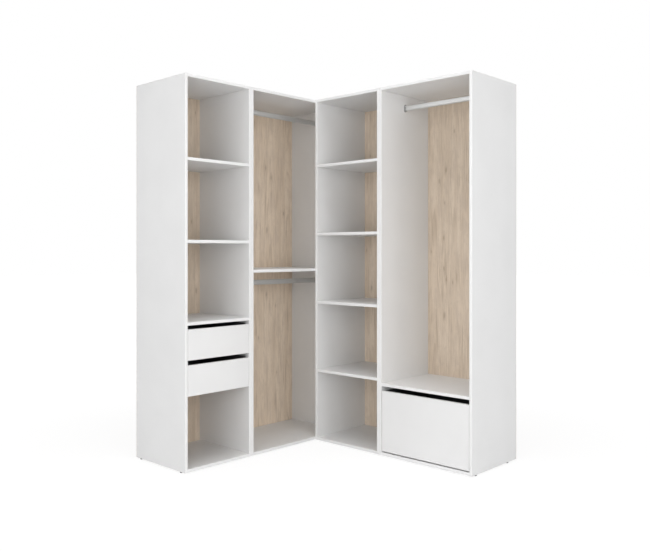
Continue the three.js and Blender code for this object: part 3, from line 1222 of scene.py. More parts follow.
class FittingTree:
    """Geometry Nodes that set a head on points, or along a line of points at a pitch."""

    INPUTS = {"Pitch": "NodeSocketFloat", "Scale": "NodeSocketFloat", "Spin": "NodeSocketFloat",
              "Seed": "NodeSocketInt", "Head": "NodeSocketObject", "Finish": "NodeSocketMaterial"}

    def __init__(self, name: str, in_rows: bool) -> None:
        """Builds the tree.

        Args:
            name: the tree's name.
            in_rows: whether the points are corners of a line that is divided at the pitch.
        """
        self.group = bpy.data.node_groups.new(name, "GeometryNodeTree")
        graph = Graph(self.group)
        face = self.group.interface
        for way in ("OUTPUT", "INPUT"):
            face.new_socket(name="Geometry", in_out=way, socket_type="NodeSocketGeometry")
        self.sockets = {
            label: face.new_socket(name=label, in_out="INPUT", socket_type=kind).identifier
            for label, kind in self.INPUTS.items()}
        given = graph.node("NodeGroupInput").outputs
        points = given["Geometry"]
        aim = graph.value("GeometryNodeInputNamedAttribute", {"data_type": "FLOAT_VECTOR"},
                          {"Name": "aim"}, "Attribute")
        if in_rows:
            line = graph.value("GeometryNodeMeshToCurve", {}, {"Mesh": points})
            points = graph.value("GeometryNodeResampleCurve", {"mode": "LENGTH"},
                                 {"Curve": line, "Length": given["Pitch"]})
        upright = graph.value("FunctionNodeAlignRotationToVector", {"axis": "Z"}, {"Vector": aim})
        turn = graph.value("FunctionNodeRandomValue", {"data_type": "FLOAT"},
                           {"Min": 0.0, "Max": given["Spin"], "Seed": given["Seed"]}, "Value")
        spun = graph.value("FunctionNodeAxisAngleToRotation", {},
                           {"Axis": (0.0, 0.0, 1.0), "Angle": turn})
        rotation = graph.value("FunctionNodeRotateRotation", {"rotation_space": "LOCAL"},
                               {"Rotation": upright, "Rotate By": spun})
        head = graph.value("GeometryNodeObjectInfo", {}, {"Object": given["Head"]}, "Geometry")
        heads = graph.value("GeometryNodeInstanceOnPoints", {},
                            {"Points": points, "Instance": head, "Rotation": rotation,
                             "Scale": given["Scale"]})
        real = graph.value("GeometryNodeRealizeInstances", {}, {"Geometry": heads})
        dressed = graph.value("GeometryNodeSetMaterial", {},
                              {"Geometry": real, "Material": given["Finish"]})
        graph.node("NodeGroupOutput", {}, {"Geometry": dressed})

    def run(self, points: bpy.types.Object, **values: Any) -> bpy.types.Mesh:
        """Puts the tree on an object and takes the result.

        Args:
            points: the object that carries the points.
            values: the tree's inputs by name.

        Returns:
            The mesh of all the heads.
        """
        modifier = points.modifiers.new("fittings", "NODES")
        modifier.node_group = self.group
        for label, value in values.items():
            modifier[self.sockets[label]] = value
        mesh = evaluated_mesh(points)
        points.modifiers.remove(modifier)
        return mesh


@dataclass(frozen=True)
class HeadShape:
    """A head turned about its axis, with its seat at zero and its top up.

    The profile runs from the lower end of the axis to the upper one, as (radius, height). A cross
    recess is given by the reach and the width of its arms and the height of its floor, and an
    arrow that is cut beside it by its outline.
    """

    profile: tuple[tuple[float, float], ...]
    sides: int
    finish: Finish = PALETTE.zinc
    recess: tuple[float, float, float] | None = None
    arrow: tuple[tuple[float, float], ...] = ()
    arrow_floor: float = -0.9
    clear: float = 2.0

    def shell(self) -> Shell:
        """The head's own shape.

        Returns:
            A closed shell, in millimetres.
        """
        cutters = []
        if self.recess:
            reach, width, floor = self.recess
            cutters += [Shell.block(Block(Vector((-x, -y, floor)), Vector((x, y, self.clear))))
                        for x, y in ((reach, width / 2), (width / 2, reach))]
        if self.arrow:
            cutters.append(Shell.prism(self.arrow, Axis.UP, self.arrow_floor, self.clear))
        blank = Shell.turned(self.profile, self.sides)
        return (blank.without(*cutters) if cutters else blank).closed()


class Head(Enum):
    """The kinds of small fitting."""

    NAIL = HeadShape(((0, -2.2), (0.8, -2.2), (0.8, -0.9), (2.3, -0.85), (2.5, -0.65),
                      (2.1, -0.42), (0, -0.32)), 12)
    DIMPLE = HeadShape(((0, -0.7), (2.5, -0.7), (2.7, -0.45), (3.3, 0.02), (3.3, 1.0),
                        (0, 1.0)), 12)
    SCREW = HeadShape(((0, -2.4), (1.7, -2.4), (2.0, -1.9), (3.75, -0.15), (3.75, 0.0),
                       (2.6, 0.38), (1.2, 0.55), (0, 0.6)), 24, recess=(2.1, 0.55, -1.3))
    FLAT_SCREW = HeadShape(((0, -1.0), (1.9, -1.0), (1.9, 0.0), (3.3, 0.0), (3.3, 0.25),
                            (2.6, 0.5), (1.2, 0.58), (0, 0.6)), 24, recess=(1.9, 0.5, -0.4))
    CAM = HeadShape(((0, -11.5), (7.0, -11.5), (7.3, -11.0), (7.3, -1.2), (6.9, -0.8),
                     (6.9, -0.4), (0, -0.4)), 32, recess=(3.4, 1.1, -4.0),
                    arrow=((4.6, -0.9), (6.2, 0.0), (4.6, 0.9)))
    CAP = HeadShape(((0, -2.0), (3.4, -2.0), (3.6, 0.0), (8.3, 0.0), (8.5, 0.2), (8.3, 0.5),
                     (7.4, 0.78), (4.0, 0.9), (0, 0.95)), 32, PALETTE.cap)
    FOOT = HeadShape(((0, -6.0), (2.6, -6.0), (2.9, -5.5), (4.4, -5.5), (5.2, -6.0),
                      (5.9, -5.9), (6.6, -5.3), (7.0, -4.6), (7.0, -0.6), (6.6, -0.15),
                      (0, -0.15)), 28, PALETTE.foot)


class Fittings:
    """Makes the small fittings of one kind on one body into one piece."""

    SEED = 7
    _trees: dict[bool, FittingTree] = {}
    _heads: dict[Head, bpy.types.Object] = {}

    @classmethod
    def tree(cls, in_rows: bool) -> FittingTree:
        """The tree for single points or for rows, made once.

        Args:
            in_rows: whether the heads stand along a line.

        Returns:
            The tree.
        """
        if in_rows not in cls._trees:
            name = "fitting_rows" if in_rows else "fitting_points"
            cls._trees[in_rows] = FittingTree(name, in_rows)
        return cls._trees[in_rows]

    @classmethod
    def head(cls, kind: Head) -> bpy.types.Object:
        """The object of one head, made once and outside the scene.

        Args:
            kind: the head.

        Returns:
            Its object.
        """
        if kind not in cls._heads:
            name = kind.name.lower()
            shell = kind.value.shell()
            cls._heads[kind] = bpy.data.objects.new(name, shell.mesh(name))
            shell.bm.free()
        return cls._heads[kind]

    @classmethod
    def clear(cls) -> None:
        """Removes the loose heads once every fitting is made."""
        for head in cls._heads.values():
            discard(head)
        cls._heads.clear()

    @classmethod
    def heads(cls, name: str, kind: Head, seats: Sequence[Seat],
              pitch: float | None = None) -> bpy.types.Mesh:
        """Sets one kind of head on its seats, each turned at random.

        Args:
            name: the name of the mesh.
            kind: the head.
            seats: the places, or the corners of a closed line where there is a pitch.
            pitch: the spacing along the line, or None for single places.

        Returns:
            The mesh of all the heads, in the directions that the seats are given in.
        """
        mesh = bpy.data.meshes.new(name)
        count = len(seats)
        edges = [(i, (i + 1) % count) for i in range(count)] if pitch else []
        mesh.from_pydata([seat.place for seat in seats], edges, [])
        aims = mesh.attributes.new("aim", "FLOAT_VECTOR", "POINT")
        aims.data.foreach_set("vector", [value for seat in seats for value in seat.aim])
        points = linked(name + "-points", mesh)
        made = cls.tree(pitch is not None).run(
            points, Pitch=pitch or 1.0, Scale=1.0, Spin=math.tau, Seed=cls.SEED,
            Head=cls.head(kind), Finish=kind.value.finish.material())
        discard(points)
        made.name = name
        return made

    @classmethod
    def place(cls, name: str, kind: Head, run: Run, seats: Sequence[Seat], body: str,
              nodes: Sequence[str] = (), pitch: float | None = None) -> bpy.types.Object:
        """Makes the heads on these seats, or on a closed line at a pitch, into a piece."""
        return settle(name, cls.heads(name, kind, seats, pitch), run, body, nodes)


# Boards


@dataclass
class Board:
    """A faced chipboard with glued bands on some of its edges."""

    node: str
    run: Run
    thickness: Axis
    bands: tuple[tuple[Axis, int], ...]
    body: str = CARCASSES
    band: float = 0.8
    seam: float = 0.05
    round: float = 0.7
    arris: float = 0.08
    pull: float = 0.28
    cam_radius: float = 7.6
    cam_depth: float = 12.5
    bore_clear: float = 2.0
    bore_sides: int = 32
    cams: list[Seat] = field(default_factory=list)
    box: Block = field(init=False)

    def __post_init__(self) -> None:
        """Takes the board's place from the frame, without the feet under a side panel.

        Its sawn edges are pulled up tight to what they are screwed or nailed to.
        """
        box = self.run.box(self.node)
        box = box.reset(Axis.DEPTH, hi=box.hi.y + self.pull)
        self.box = (box.reset(Axis.UP, lo=Feet.HEIGHT) if self.thickness is Axis.ACROSS
                    else box.reset(Axis.ACROSS, box.lo.x - self.pull, box.hi.x + self.pull))

    def _band(self, edge: Axis, side: int, room: Block) -> Shell:
        """A band with rounded outer edges.

        Args:
            edge: the direction that the edge faces.
            side: -1 for the low edge, 1 for the high one.
            room: the box that is left for the band's run.

        Returns:
            The band.
        """
        length = next(axis for axis in Axis if axis not in (edge, self.thickness))
        outer = (self.box.lo if side < 0 else self.box.hi)[edge.value]
        strip = self.box.reset(edge, *sorted((outer, outer - side * self.band)))
        first, second = [axis.value for axis in Axis if axis is not length]
        outer_corners = {
            (True, -1): (0, 3), (True, 1): (1, 2), (False, -1): (0, 1), (False, 1): (3, 2),
        }[(edge.value == first, side)]
        outline = rounded((strip.lo[first], strip.lo[second]), (strip.hi[first], strip.hi[second]),
                          [self.round if i in outer_corners else 0.0 for i in range(4)])
        return Shell.prism(outline, length, room.lo[length.value], room.hi[length.value])

    def _sawn(self, face: bmesh.types.BMFace) -> bool:
        """Whether a face of the core is a sawn edge."""
        return abs(face.normal[self.thickness.value]) < FACING

    def build(self) -> bpy.types.Object:
        """The board with its bands and, where it has cams, their bores.

        Returns:
            The finished piece.
        """
        piece = Piece(f"{self.node}_board", self.run)
        room = self.box
        for edge, side in self.bands:
            piece.add(self._band(edge, side, room), PALETTE.band)
            inset = self.band + self.seam
            room = (room.reset(edge, lo=room.lo[edge.value] + inset) if side < 0
                    else room.reset(edge, hi=room.hi[edge.value] - inset))
        core = Shell.block(room, self.arris)
        if self.cams:
            radius, low, high = self.cam_radius, -self.cam_depth, self.bore_clear
            bore = [(0, low), (radius, low), (radius, high), (0, high)]
            core.without(*(Shell.turned(bore, self.bore_sides).moved(cam) for cam in self.cams))
        piece.add(core, PALETTE.face, (PALETTE.core, self._sawn))
        return piece.done(self.body, (self.node,), "white_board")


@dataclass
class Feet:
    """Nailed glides under the side panels of a carcass."""

    HEIGHT = 6.0

    rear_setback: float
    front_setback: float = 43.5

    def seats(self, box: Block) -> list[Seat]:
        """The two seats at the lower end of a side panel's box."""
        places = (box.lo.y + self.front_setback, box.hi.y - self.rear_setback)
        return [Seat(Vector((box.centre.x, y, self.HEIGHT)), Axis.UP.unit) for y in places]


@dataclass
class Carcass:
    """An open carcass: two sides, top, base, back, shelves and the fittings that hold them."""

    name: str
    run: Run
    shelves: tuple[str, ...]
    decor: OakDecor
    feet: Feet
    nail_pitch: float = 120.0
    nail_inset: float = 7.0
    cam_from_end: float = 33.5
    cam_setbacks: tuple[float, float] = (55.0, 85.0)

    def node(self, part: str) -> str:
        """A node's name."""
        return f"{self.name}_{part}"

    def _cams(self, part: str, over: bool) -> list[Seat]:
        """The four cams of a board between the sides.

        Args:
            part: the board.
            over: whether they sit in its upper face.

        Returns:
            Their seats.
        """
        box = self.run.box(self.node(part))
        front, rear = self.cam_setbacks
        level = box.hi.z if over else box.lo.z
        aim = Axis.UP.unit * (1 if over else -1)
        return [Seat(Vector((x, y, level)), aim)
                for x in (box.lo.x + self.cam_from_end, box.hi.x - self.cam_from_end)
                for y in (box.lo.y + front, box.hi.y - rear)]

    def build(self) -> None:
        """Makes every piece of the carcass."""
        self._boards()
        self._back()
        self._feet()
        self._caps()

    def _boards(self) -> None:
        """Sides banded at the front and on top, the rest banded at the front."""
        front = (Axis.DEPTH, -1)
        for part in ("left_side", "right_side"):
            Board(self.node(part), self.run, Axis.ACROSS, (front, (Axis.UP, 1))).build()
        top, base = self._cams("top", True), self._cams("base", False)
        Board(self.node("top"), self.run, Axis.UP, (front,), cams=top).build()
        Board(self.node("base"), self.run, Axis.UP, (front,), cams=base).build()
        for shelf in self.shelves:
            Board(self.node(shelf), self.run, Axis.UP, (front,)).build()
        Fittings.place(f"{self.name}_cams", Head.CAM, self.run, top + base, CARCASSES)

    def _caps(self) -> None:
        """White caps over the cams in the shelves' undersides."""
        seats = [seat for shelf in self.shelves for seat in self._cams(shelf, False)]
        Fittings.place(f"{self.name}_caps", Head.CAP, self.run, seats, CARCASSES)

    def _feet(self) -> None:
        """The glides under both sides."""
        sides = [self.node("left_side"), self.node("right_side")]
        seats = [seat for side in sides for seat in self.feet.seats(self.run.box(side))]
        Fittings.place(f"{self.name}_feet", Head.FOOT, self.run, seats, CARCASSES, sides)

    def _back(self) -> None:
        """The decor panel and the nails round it."""
        box = self.run.box(self.node("back"))
        inset = self.nail_inset
        line = rounded((box.lo.x + inset, box.lo.z + inset), (box.hi.x - inset, box.hi.z - inset),
                       (0,) * 4)
        corners = [Seat(Vector((x, box.hi.y, z)), Axis.DEPTH.unit) for x, z in line]
        dimples = Shell.taken(Fittings.heads("dimples", Head.DIMPLE, corners, self.nail_pitch))
        panel = Shell.block(box, THIN_ARRIS).without(dimples)
        piece = Piece(self.node("back_panel"), self.run)
        piece.add(panel, self.decor, (PALETTE.reverse, lambda face: face.normal.y > -FACING))
        piece.done(CARCASSES, (self.node("back"),), "wood_back")
        Fittings.place(f"{self.name}_nails", Head.NAIL, self.run, corners, CARCASSES,
                       pitch=self.nail_pitch)


# Hanging rails


@dataclass
class HangingRail:
    """An oval tube that rests in two open sockets."""

    prefix: str
    run: Run
    wall: float = 1.0
    plate: float = 2.5
    cradle_fit: float = 0.3
    cradle_wall: float = 2.0
    cradle_steps: int = 24
    soft: float = 0.45
    soft_steps: int = 3
    screw_spacing: float = 12.0

    def build(self) -> None:
        """The tube, its sockets and their screws."""
        self._tube()
        screws: list[Seat] = []
        for hand, towards in (("left", 1), ("right", -1)):
            node = f"{self.prefix}socket_{hand}"
            self._socket(node, towards)
            box = self.run.box(node)
            face = (box.lo.x if towards > 0 else box.hi.x) + towards * self.plate
            screws += [Seat(Vector((face, box.centre.y, box.centre.z + rise)),
                            Axis.ACROSS.unit * towards)
                       for rise in (-self.screw_spacing / 2, self.screw_spacing / 2)]
        Fittings.place(f"{self.prefix}rail_screws", Head.SCREW, self.run, screws, CARCASSES)

    def _tube(self) -> None:
        """The tube, open at both ends."""
        node = f"{self.prefix}rail"
        box = self.run.box(node)
        outside, bore = (about(box.centre, oval(box.size.y - 2 * wall, box.size.z - 2 * wall))
                         for wall in (0.0, self.wall))
        tube = Shell.prism(outside, Axis.ACROSS, box.lo.x, box.hi.x, bore, smooth=True)
        finish = BrushedSteel(f"rail_steel_{self.run.name.lower()}", self.run)
        Piece(f"{node}_tube", self.run).add(tube, finish).done(CARCASSES, (node,), "rail_steel")

    def _socket(self, node: str, towards: int) -> None:
        """An oval plate with an open cradle.

        Args:
            node: the socket's node.
            towards: the way it reaches across, 1 or -1.
        """
        box = self.run.box(node)
        rail = self.run.box(f"{self.prefix}rail")
        foot, tip = (box.lo.x, box.hi.x)[::towards]
        face = foot + towards * self.plate
        plate = Shell.prism(about(box.centre, oval(box.size.y, box.size.z)), Axis.ACROSS,
                            *sorted((foot, face)))
        self._soften(plate, face)
        inner = rail.size.y / 2 + self.cradle_fit
        outer = inner + self.cradle_wall
        level = (rail.size.z - rail.size.y) / 2
        turns = [math.pi * (1 + step / self.cradle_steps) for step in range(self.cradle_steps + 1)]
        rim = [around((0.0, -level), outer, turn) for turn in turns]
        bed = [around((0.0, -level), inner, turn) for turn in reversed(turns)]
        outline = [(-outer, level), *rim, (outer, level), (inner, level), *bed, (-inner, level)]
        cradle = Shell.prism(about(box.centre, outline), Axis.ACROSS,
                             *sorted((face - towards * self.plate / 2, tip)))
        self._soften(cradle, tip)
        piece = Piece(f"{node}_moulding", self.run)
        piece.add(plate, PALETTE.socket).add(cradle, PALETTE.socket)
        piece.done(CARCASSES, (node,), "socket_plastic")

    def _soften(self, shell: Shell, end: float) -> None:
        """Rounds the edges at one end of a shell that runs across.

        Args:
            shell: the shell.
            end: where that end lies.
        """
        shell.smooth = True
        edges = [edge for edge in shell.bm.edges
                 if all(abs(vert.co.x - end) < TOUCH for vert in edge.verts)]
        shell.soften(edges, self.soft, self.soft_steps)


# Drawers


@dataclass(frozen=True)
class RunnerSizes:
    """The section of a roller runner, from the side panel's face (w) and its lower face (z)."""

    space: float = 12.5
    fit: float = 0.3
    running: float = 0.8
    steel: float = 1.2
    bend: float = 1.0
    lip: float = 1.5
    roller: float = 9.0
    box_wall: float = 12.0
    rivet: float = 3.0
    front_setback: float = 11.0
    rear_setback: float = 10.0
    stop_setback: float = 81.0
    stop_height: float = 3.0
    stop_length: float = 9.0
    stop_inset: float = 1.5
    stop_root: float = 0.2
    closure_gap: float = 0.02
    closure_arris: float = 0.2
    window_clear: float = 2.0
    channel_screws: float = 48.0
    slider_screws: float = 36.0

    @property
    def slider_web(self) -> float:
        """The slider's face towards the side panel."""
        return self.space - self.fit - self.steel

    @property
    def flange_edge(self) -> float:
        """How far the channel's flanges reach."""
        return self.slider_web - self.running / 2

    @property
    def tread(self) -> tuple[float, float]:
        """The room that the rollers take across."""
        return self.fit + self.steel + self.running, self.flange_edge - self.steel - self.fit

    @property
    def rear_axis(self) -> float:
        """Height of the slider's roller."""
        return self.steel + self.fit + self.roller

    @property
    def height(self) -> float:
        """Height of the channel."""
        return self.rear_axis + self.roller + self.running + self.steel

    @property
    def top(self) -> float:
        """Height of the slider."""
        return self.height + self.running + self.steel

    @property
    def front_axis(self) -> float:
        """Height of the channel's roller."""
        return self.top - self.steel - self.fit - self.roller


@dataclass
class Runner:
    """One roller runner: a fixed channel and a sliding member, each with a roller.

    The roller's profile is given as radii and the distances inwards from its faces, and the
    rivet's end as radii and the distances outwards from the roller.
    """

    TYRE = ((7.9, 0.0), (8.6, 0.25), (9.0, 0.9))
    HUB = ((6.6, 0.0), (6.4, 0.8), (4.4, 0.8), (4.2, 0.2), (0.0, 0.2))
    RIVET_END = ((3.0, -0.1), (2.6, 0.15), (1.2, 0.3), (0.0, 0.32))

    drawer: str
    hand: str
    run: Run
    side: float
    level: float
    sizes: RunnerSizes = field(default_factory=RunnerSizes)
    wheel_sides: int = 48
    rivet_sides: int = 24

    @property
    def towards(self) -> int:
        """The way from the side panel to the box."""
        return 1 if self.hand == "left" else -1

    def _across(self, w: float) -> float:
        """A distance from the side panel's face as a place across."""
        return self.side + self.towards * w

    def _section(self, path: Sequence[tuple[float, float]]) -> Outline:
        """The section of a folded strip.

        Args:
            path: its path as (w, z).

        Returns:
            Its outline in place.
        """
        placed = [(self._across(w), self.level + z) for w, z in path]
        if self.towards > 0:
            placed.reverse()
        return folded(placed, self.sizes.steel, self.sizes.bend)

    def _block(self, w: Span, y: Span, z: Span) -> Block:
        """A box from spans of w, depth and z."""
        (x0, x1), level = sorted(map(self._across, w)), self.level
        return Block(Vector((x0, y[0], level + z[0])), Vector((x1, y[1], level + z[1])))

    def _roller(self, name: str, depth: float, outwards: bool, body: str) -> None:
        """A nylon roller on its rivet.

        Args:
            name: the piece's name.
            depth: where its axis lies.
            outwards: whether its open face is towards the box, as on the channel.
            body: the body that it rides on.
        """
        sizes = self.sizes
        near, far = sizes.tread
        width = far - near
        if outwards:
            start, web, side, height = near, sizes.fit + sizes.steel, 1, sizes.front_axis
        else:
            start, web, side, height = far, sizes.slider_web, -1, sizes.rear_axis
        wheel = [(0, 0), *self.TYRE,
                 *((radius, width - z) for radius, z in (*reversed(self.TYRE), *self.HUB))]
        root = -abs(start - web) - sizes.steel
        rivet = [(0, root), (sizes.rivet, root), *((r, width + z) for r, z in self.RIVET_END)]
        seat = Seat(Vector((self._across(start), depth, self.level + height)),
                    Axis.ACROSS.unit * self.towards * side)
        piece = Piece(name, self.run)
        piece.add(Shell.turned(wheel, self.wheel_sides).moved(seat), PALETTE.roller)
        piece.add(Shell.turned(rivet, self.rivet_sides).moved(seat), PALETTE.zinc)
        piece.done(body, (), "runner_steel")

    def _screws(self, node: str, body: str, setback: float, place: tuple[float, float],
                aim: Vector) -> None:
        """Three screws along a member.

        Args:
            node: the member's node.
            body: the body that it rides on.
            setback: from its ends to the outer screws.
            place: their place as (w, z).
            aim: where their heads point.
        """
        box = self.run.box(node)
        ends = (box.lo.y + setback, box.hi.y - setback)
        seats = [Seat(Vector((self._across(place[0]), y, self.level + place[1])), aim)
                 for y in (ends[0], sum(ends) / 2, ends[1])]
        Fittings.place(f"{node}_screws", Head.FLAT_SCREW, self.run, seats, body)

    def channel(self) -> None:
        """The fixed member with its roller, stop, rear closure and screws."""
        sizes, node = self.sizes, f"{self.drawer}_channel_{self.hand}"
        box = self.run.box(node)
        edge, foot, top, steel = sizes.flange_edge, sizes.fit, sizes.height, sizes.steel
        web = foot + steel
        axis = box.lo.y + sizes.front_setback
        clear, gap = sizes.window_clear, sizes.closure_gap
        path = [(edge, steel + sizes.lip), (edge, 0), (foot, 0), (foot, top), (edge, top)]
        strip = Shell.prism(self._section(path), Axis.DEPTH, box.lo.y, box.hi.y)
        window = self._block((web, edge + clear),
                             (box.lo.y - clear, axis + sizes.roller + sizes.running),
                             (top - steel - sizes.running, top + clear))
        closure = self._block((web + gap, edge), (box.hi.y - steel, box.hi.y),
                              (steel + gap, top - steel - gap))
        stop, low = box.lo.y + sizes.stop_setback, self.level + steel
        wedge = [(stop - sizes.stop_length, low - sizes.stop_root), (stop, low - sizes.stop_root),
                 (stop, low + sizes.stop_height)]
        near, far = sizes.tread
        span = sorted(map(self._across, (near + sizes.stop_inset, far - sizes.stop_inset)))
        piece = Piece(f"{node}_rail", self.run)
        piece.add(strip.without(Shell.block(window)), PALETTE.runner)
        piece.add(Shell.block(closure, sizes.closure_arris), PALETTE.runner)
        piece.add(Shell.prism(wedge, Axis.ACROSS, *span), PALETTE.runner)
        piece.done(CARCASSES, (node,), "runner_steel")
        self._roller(f"{node}_roller", axis, True, CARCASSES)
        self._screws(node, CARCASSES, sizes.channel_screws, (web, top / 2),
                     Axis.ACROSS.unit * self.towards)

    def slider(self) -> None:
        """The sliding member with its roller and screws."""
        sizes, node = self.sizes, f"{self.drawer}_slider_{self.hand}"
        box = self.run.box(node)
        top, web = sizes.top - sizes.steel, sizes.slider_web
        path = [(sizes.space + sizes.box_wall, 0), (web, 0), (web, top), (sizes.tread[0], top)]
        strip = Shell.prism(self._section(path), Axis.DEPTH, box.lo.y, box.hi.y)
        piece = Piece(f"{node}_rail", self.run).add(strip, PALETTE.runner)
        piece.done(self.drawer, (node,), "runner_steel")
        self._roller(f"{node}_roller", box.hi.y - sizes.rear_setback, False, self.drawer)
        self._screws(node, self.drawer, sizes.slider_screws,
                     (sizes.space + sizes.box_wall / 2, 0), -Axis.UP.unit)


@dataclass
class Drawer:
    """A drawer: banded front, folded box, floor panel and a pair of runners."""

    name: str
    run: Run
    walls: tuple[str, str]
    front_fold: float = 1.5
    groove_depth: float = 5.0
    groove_room: float = 0.3
    rim: float = 1.2
    rim_steps: int = 3
    sizes: RunnerSizes = field(default_factory=RunnerSizes)

    def build(self) -> None:
        """Makes the drawer's pieces."""
        edges = tuple((axis, side) for axis in (Axis.ACROSS, Axis.UP) for side in (-1, 1))
        Board(f"{self.name}_front", self.run, Axis.DEPTH, edges, self.name).build()
        self._box()
        self._floor()
        level = self.run.box(f"{self.name}_box").lo.z - self.sizes.fit - self.sizes.steel
        for hand, wall in zip(("left", "right"), self.walls):
            panel = self.run.box(wall)
            side = panel.hi.x if hand == "left" else panel.lo.x
            runner = Runner(self.name, hand, self.run, side, level, self.sizes)
            runner.channel()
            runner.slider()

    def _box(self) -> None:
        """Two sides and a back folded from one foiled board, with a groove for the floor."""
        node = f"{self.name}_box"
        box = self.run.box(node)
        floor = self.run.box(f"{self.name}_floor")
        fold, wall = self.front_fold, self.sizes.box_wall
        left, right, front, back = box.lo.x, box.hi.x, box.lo.y, box.hi.y
        inner_left, inner_right, inner_back = left + wall, right - wall, back - wall
        outline = [
            (left, front), (inner_left, front), (inner_left, inner_back),
            (inner_right, inner_back), (inner_right, front), (right, front),
            *rounded((right - fold, back - fold), (right, back), (0, 0, fold, 0))[2:-1],
            *rounded((left, back - fold), (left + fold, back), (0, 0, 0, fold))[3:],
        ]
        wrap = Shell.prism(outline, Axis.UP, box.lo.z, box.hi.z)
        rims = [edge for edge in wrap.bm.edges if self._on_rim(edge, box.centre.z)]
        wrap.soften(rims, self.rim, self.rim_steps)
        out, room = self.groove_depth, self.groove_room
        groove = Block(Vector((inner_left - out, front - out, floor.lo.z - room)),
                       Vector((inner_right + out, inner_back + out, floor.hi.z + room)))
        wrap.without(Shell.block(groove))
        Piece(f"{node}_wrap", self.run).add(wrap, PALETTE.foil).done(
            self.name, (node,), "drawer_board")

    def _on_rim(self, edge: bmesh.types.BMEdge, middle: float) -> bool:
        """Whether an edge is a level one over the middle, and long enough to be rounded."""
        one, other = (vert.co.z for vert in edge.verts)
        return abs(one - other) < TOUCH and one > middle and edge.calc_length() > 2 * self.rim

    def _floor(self) -> None:
        """The thin floor panel, foiled above and bare below."""
        node = f"{self.name}_floor"
        panel = Shell.block(self.run.box(node), THIN_ARRIS)
        piece = Piece(f"{node}_panel", self.run)
        piece.add(panel, PALETTE.foil, (PALETTE.reverse, lambda face: face.normal.z < FACING))
        piece.done(self.name, (node,), "drawer_board")


# Studio


@dataclass(frozen=True)
class SoftBox:
    """A large soft lamp that faces the middle of the wardrobe."""

    name: str
    azimuth: float
    elevation: float
    width: float
    height: float
    power: float
    distance: float = 4500.0


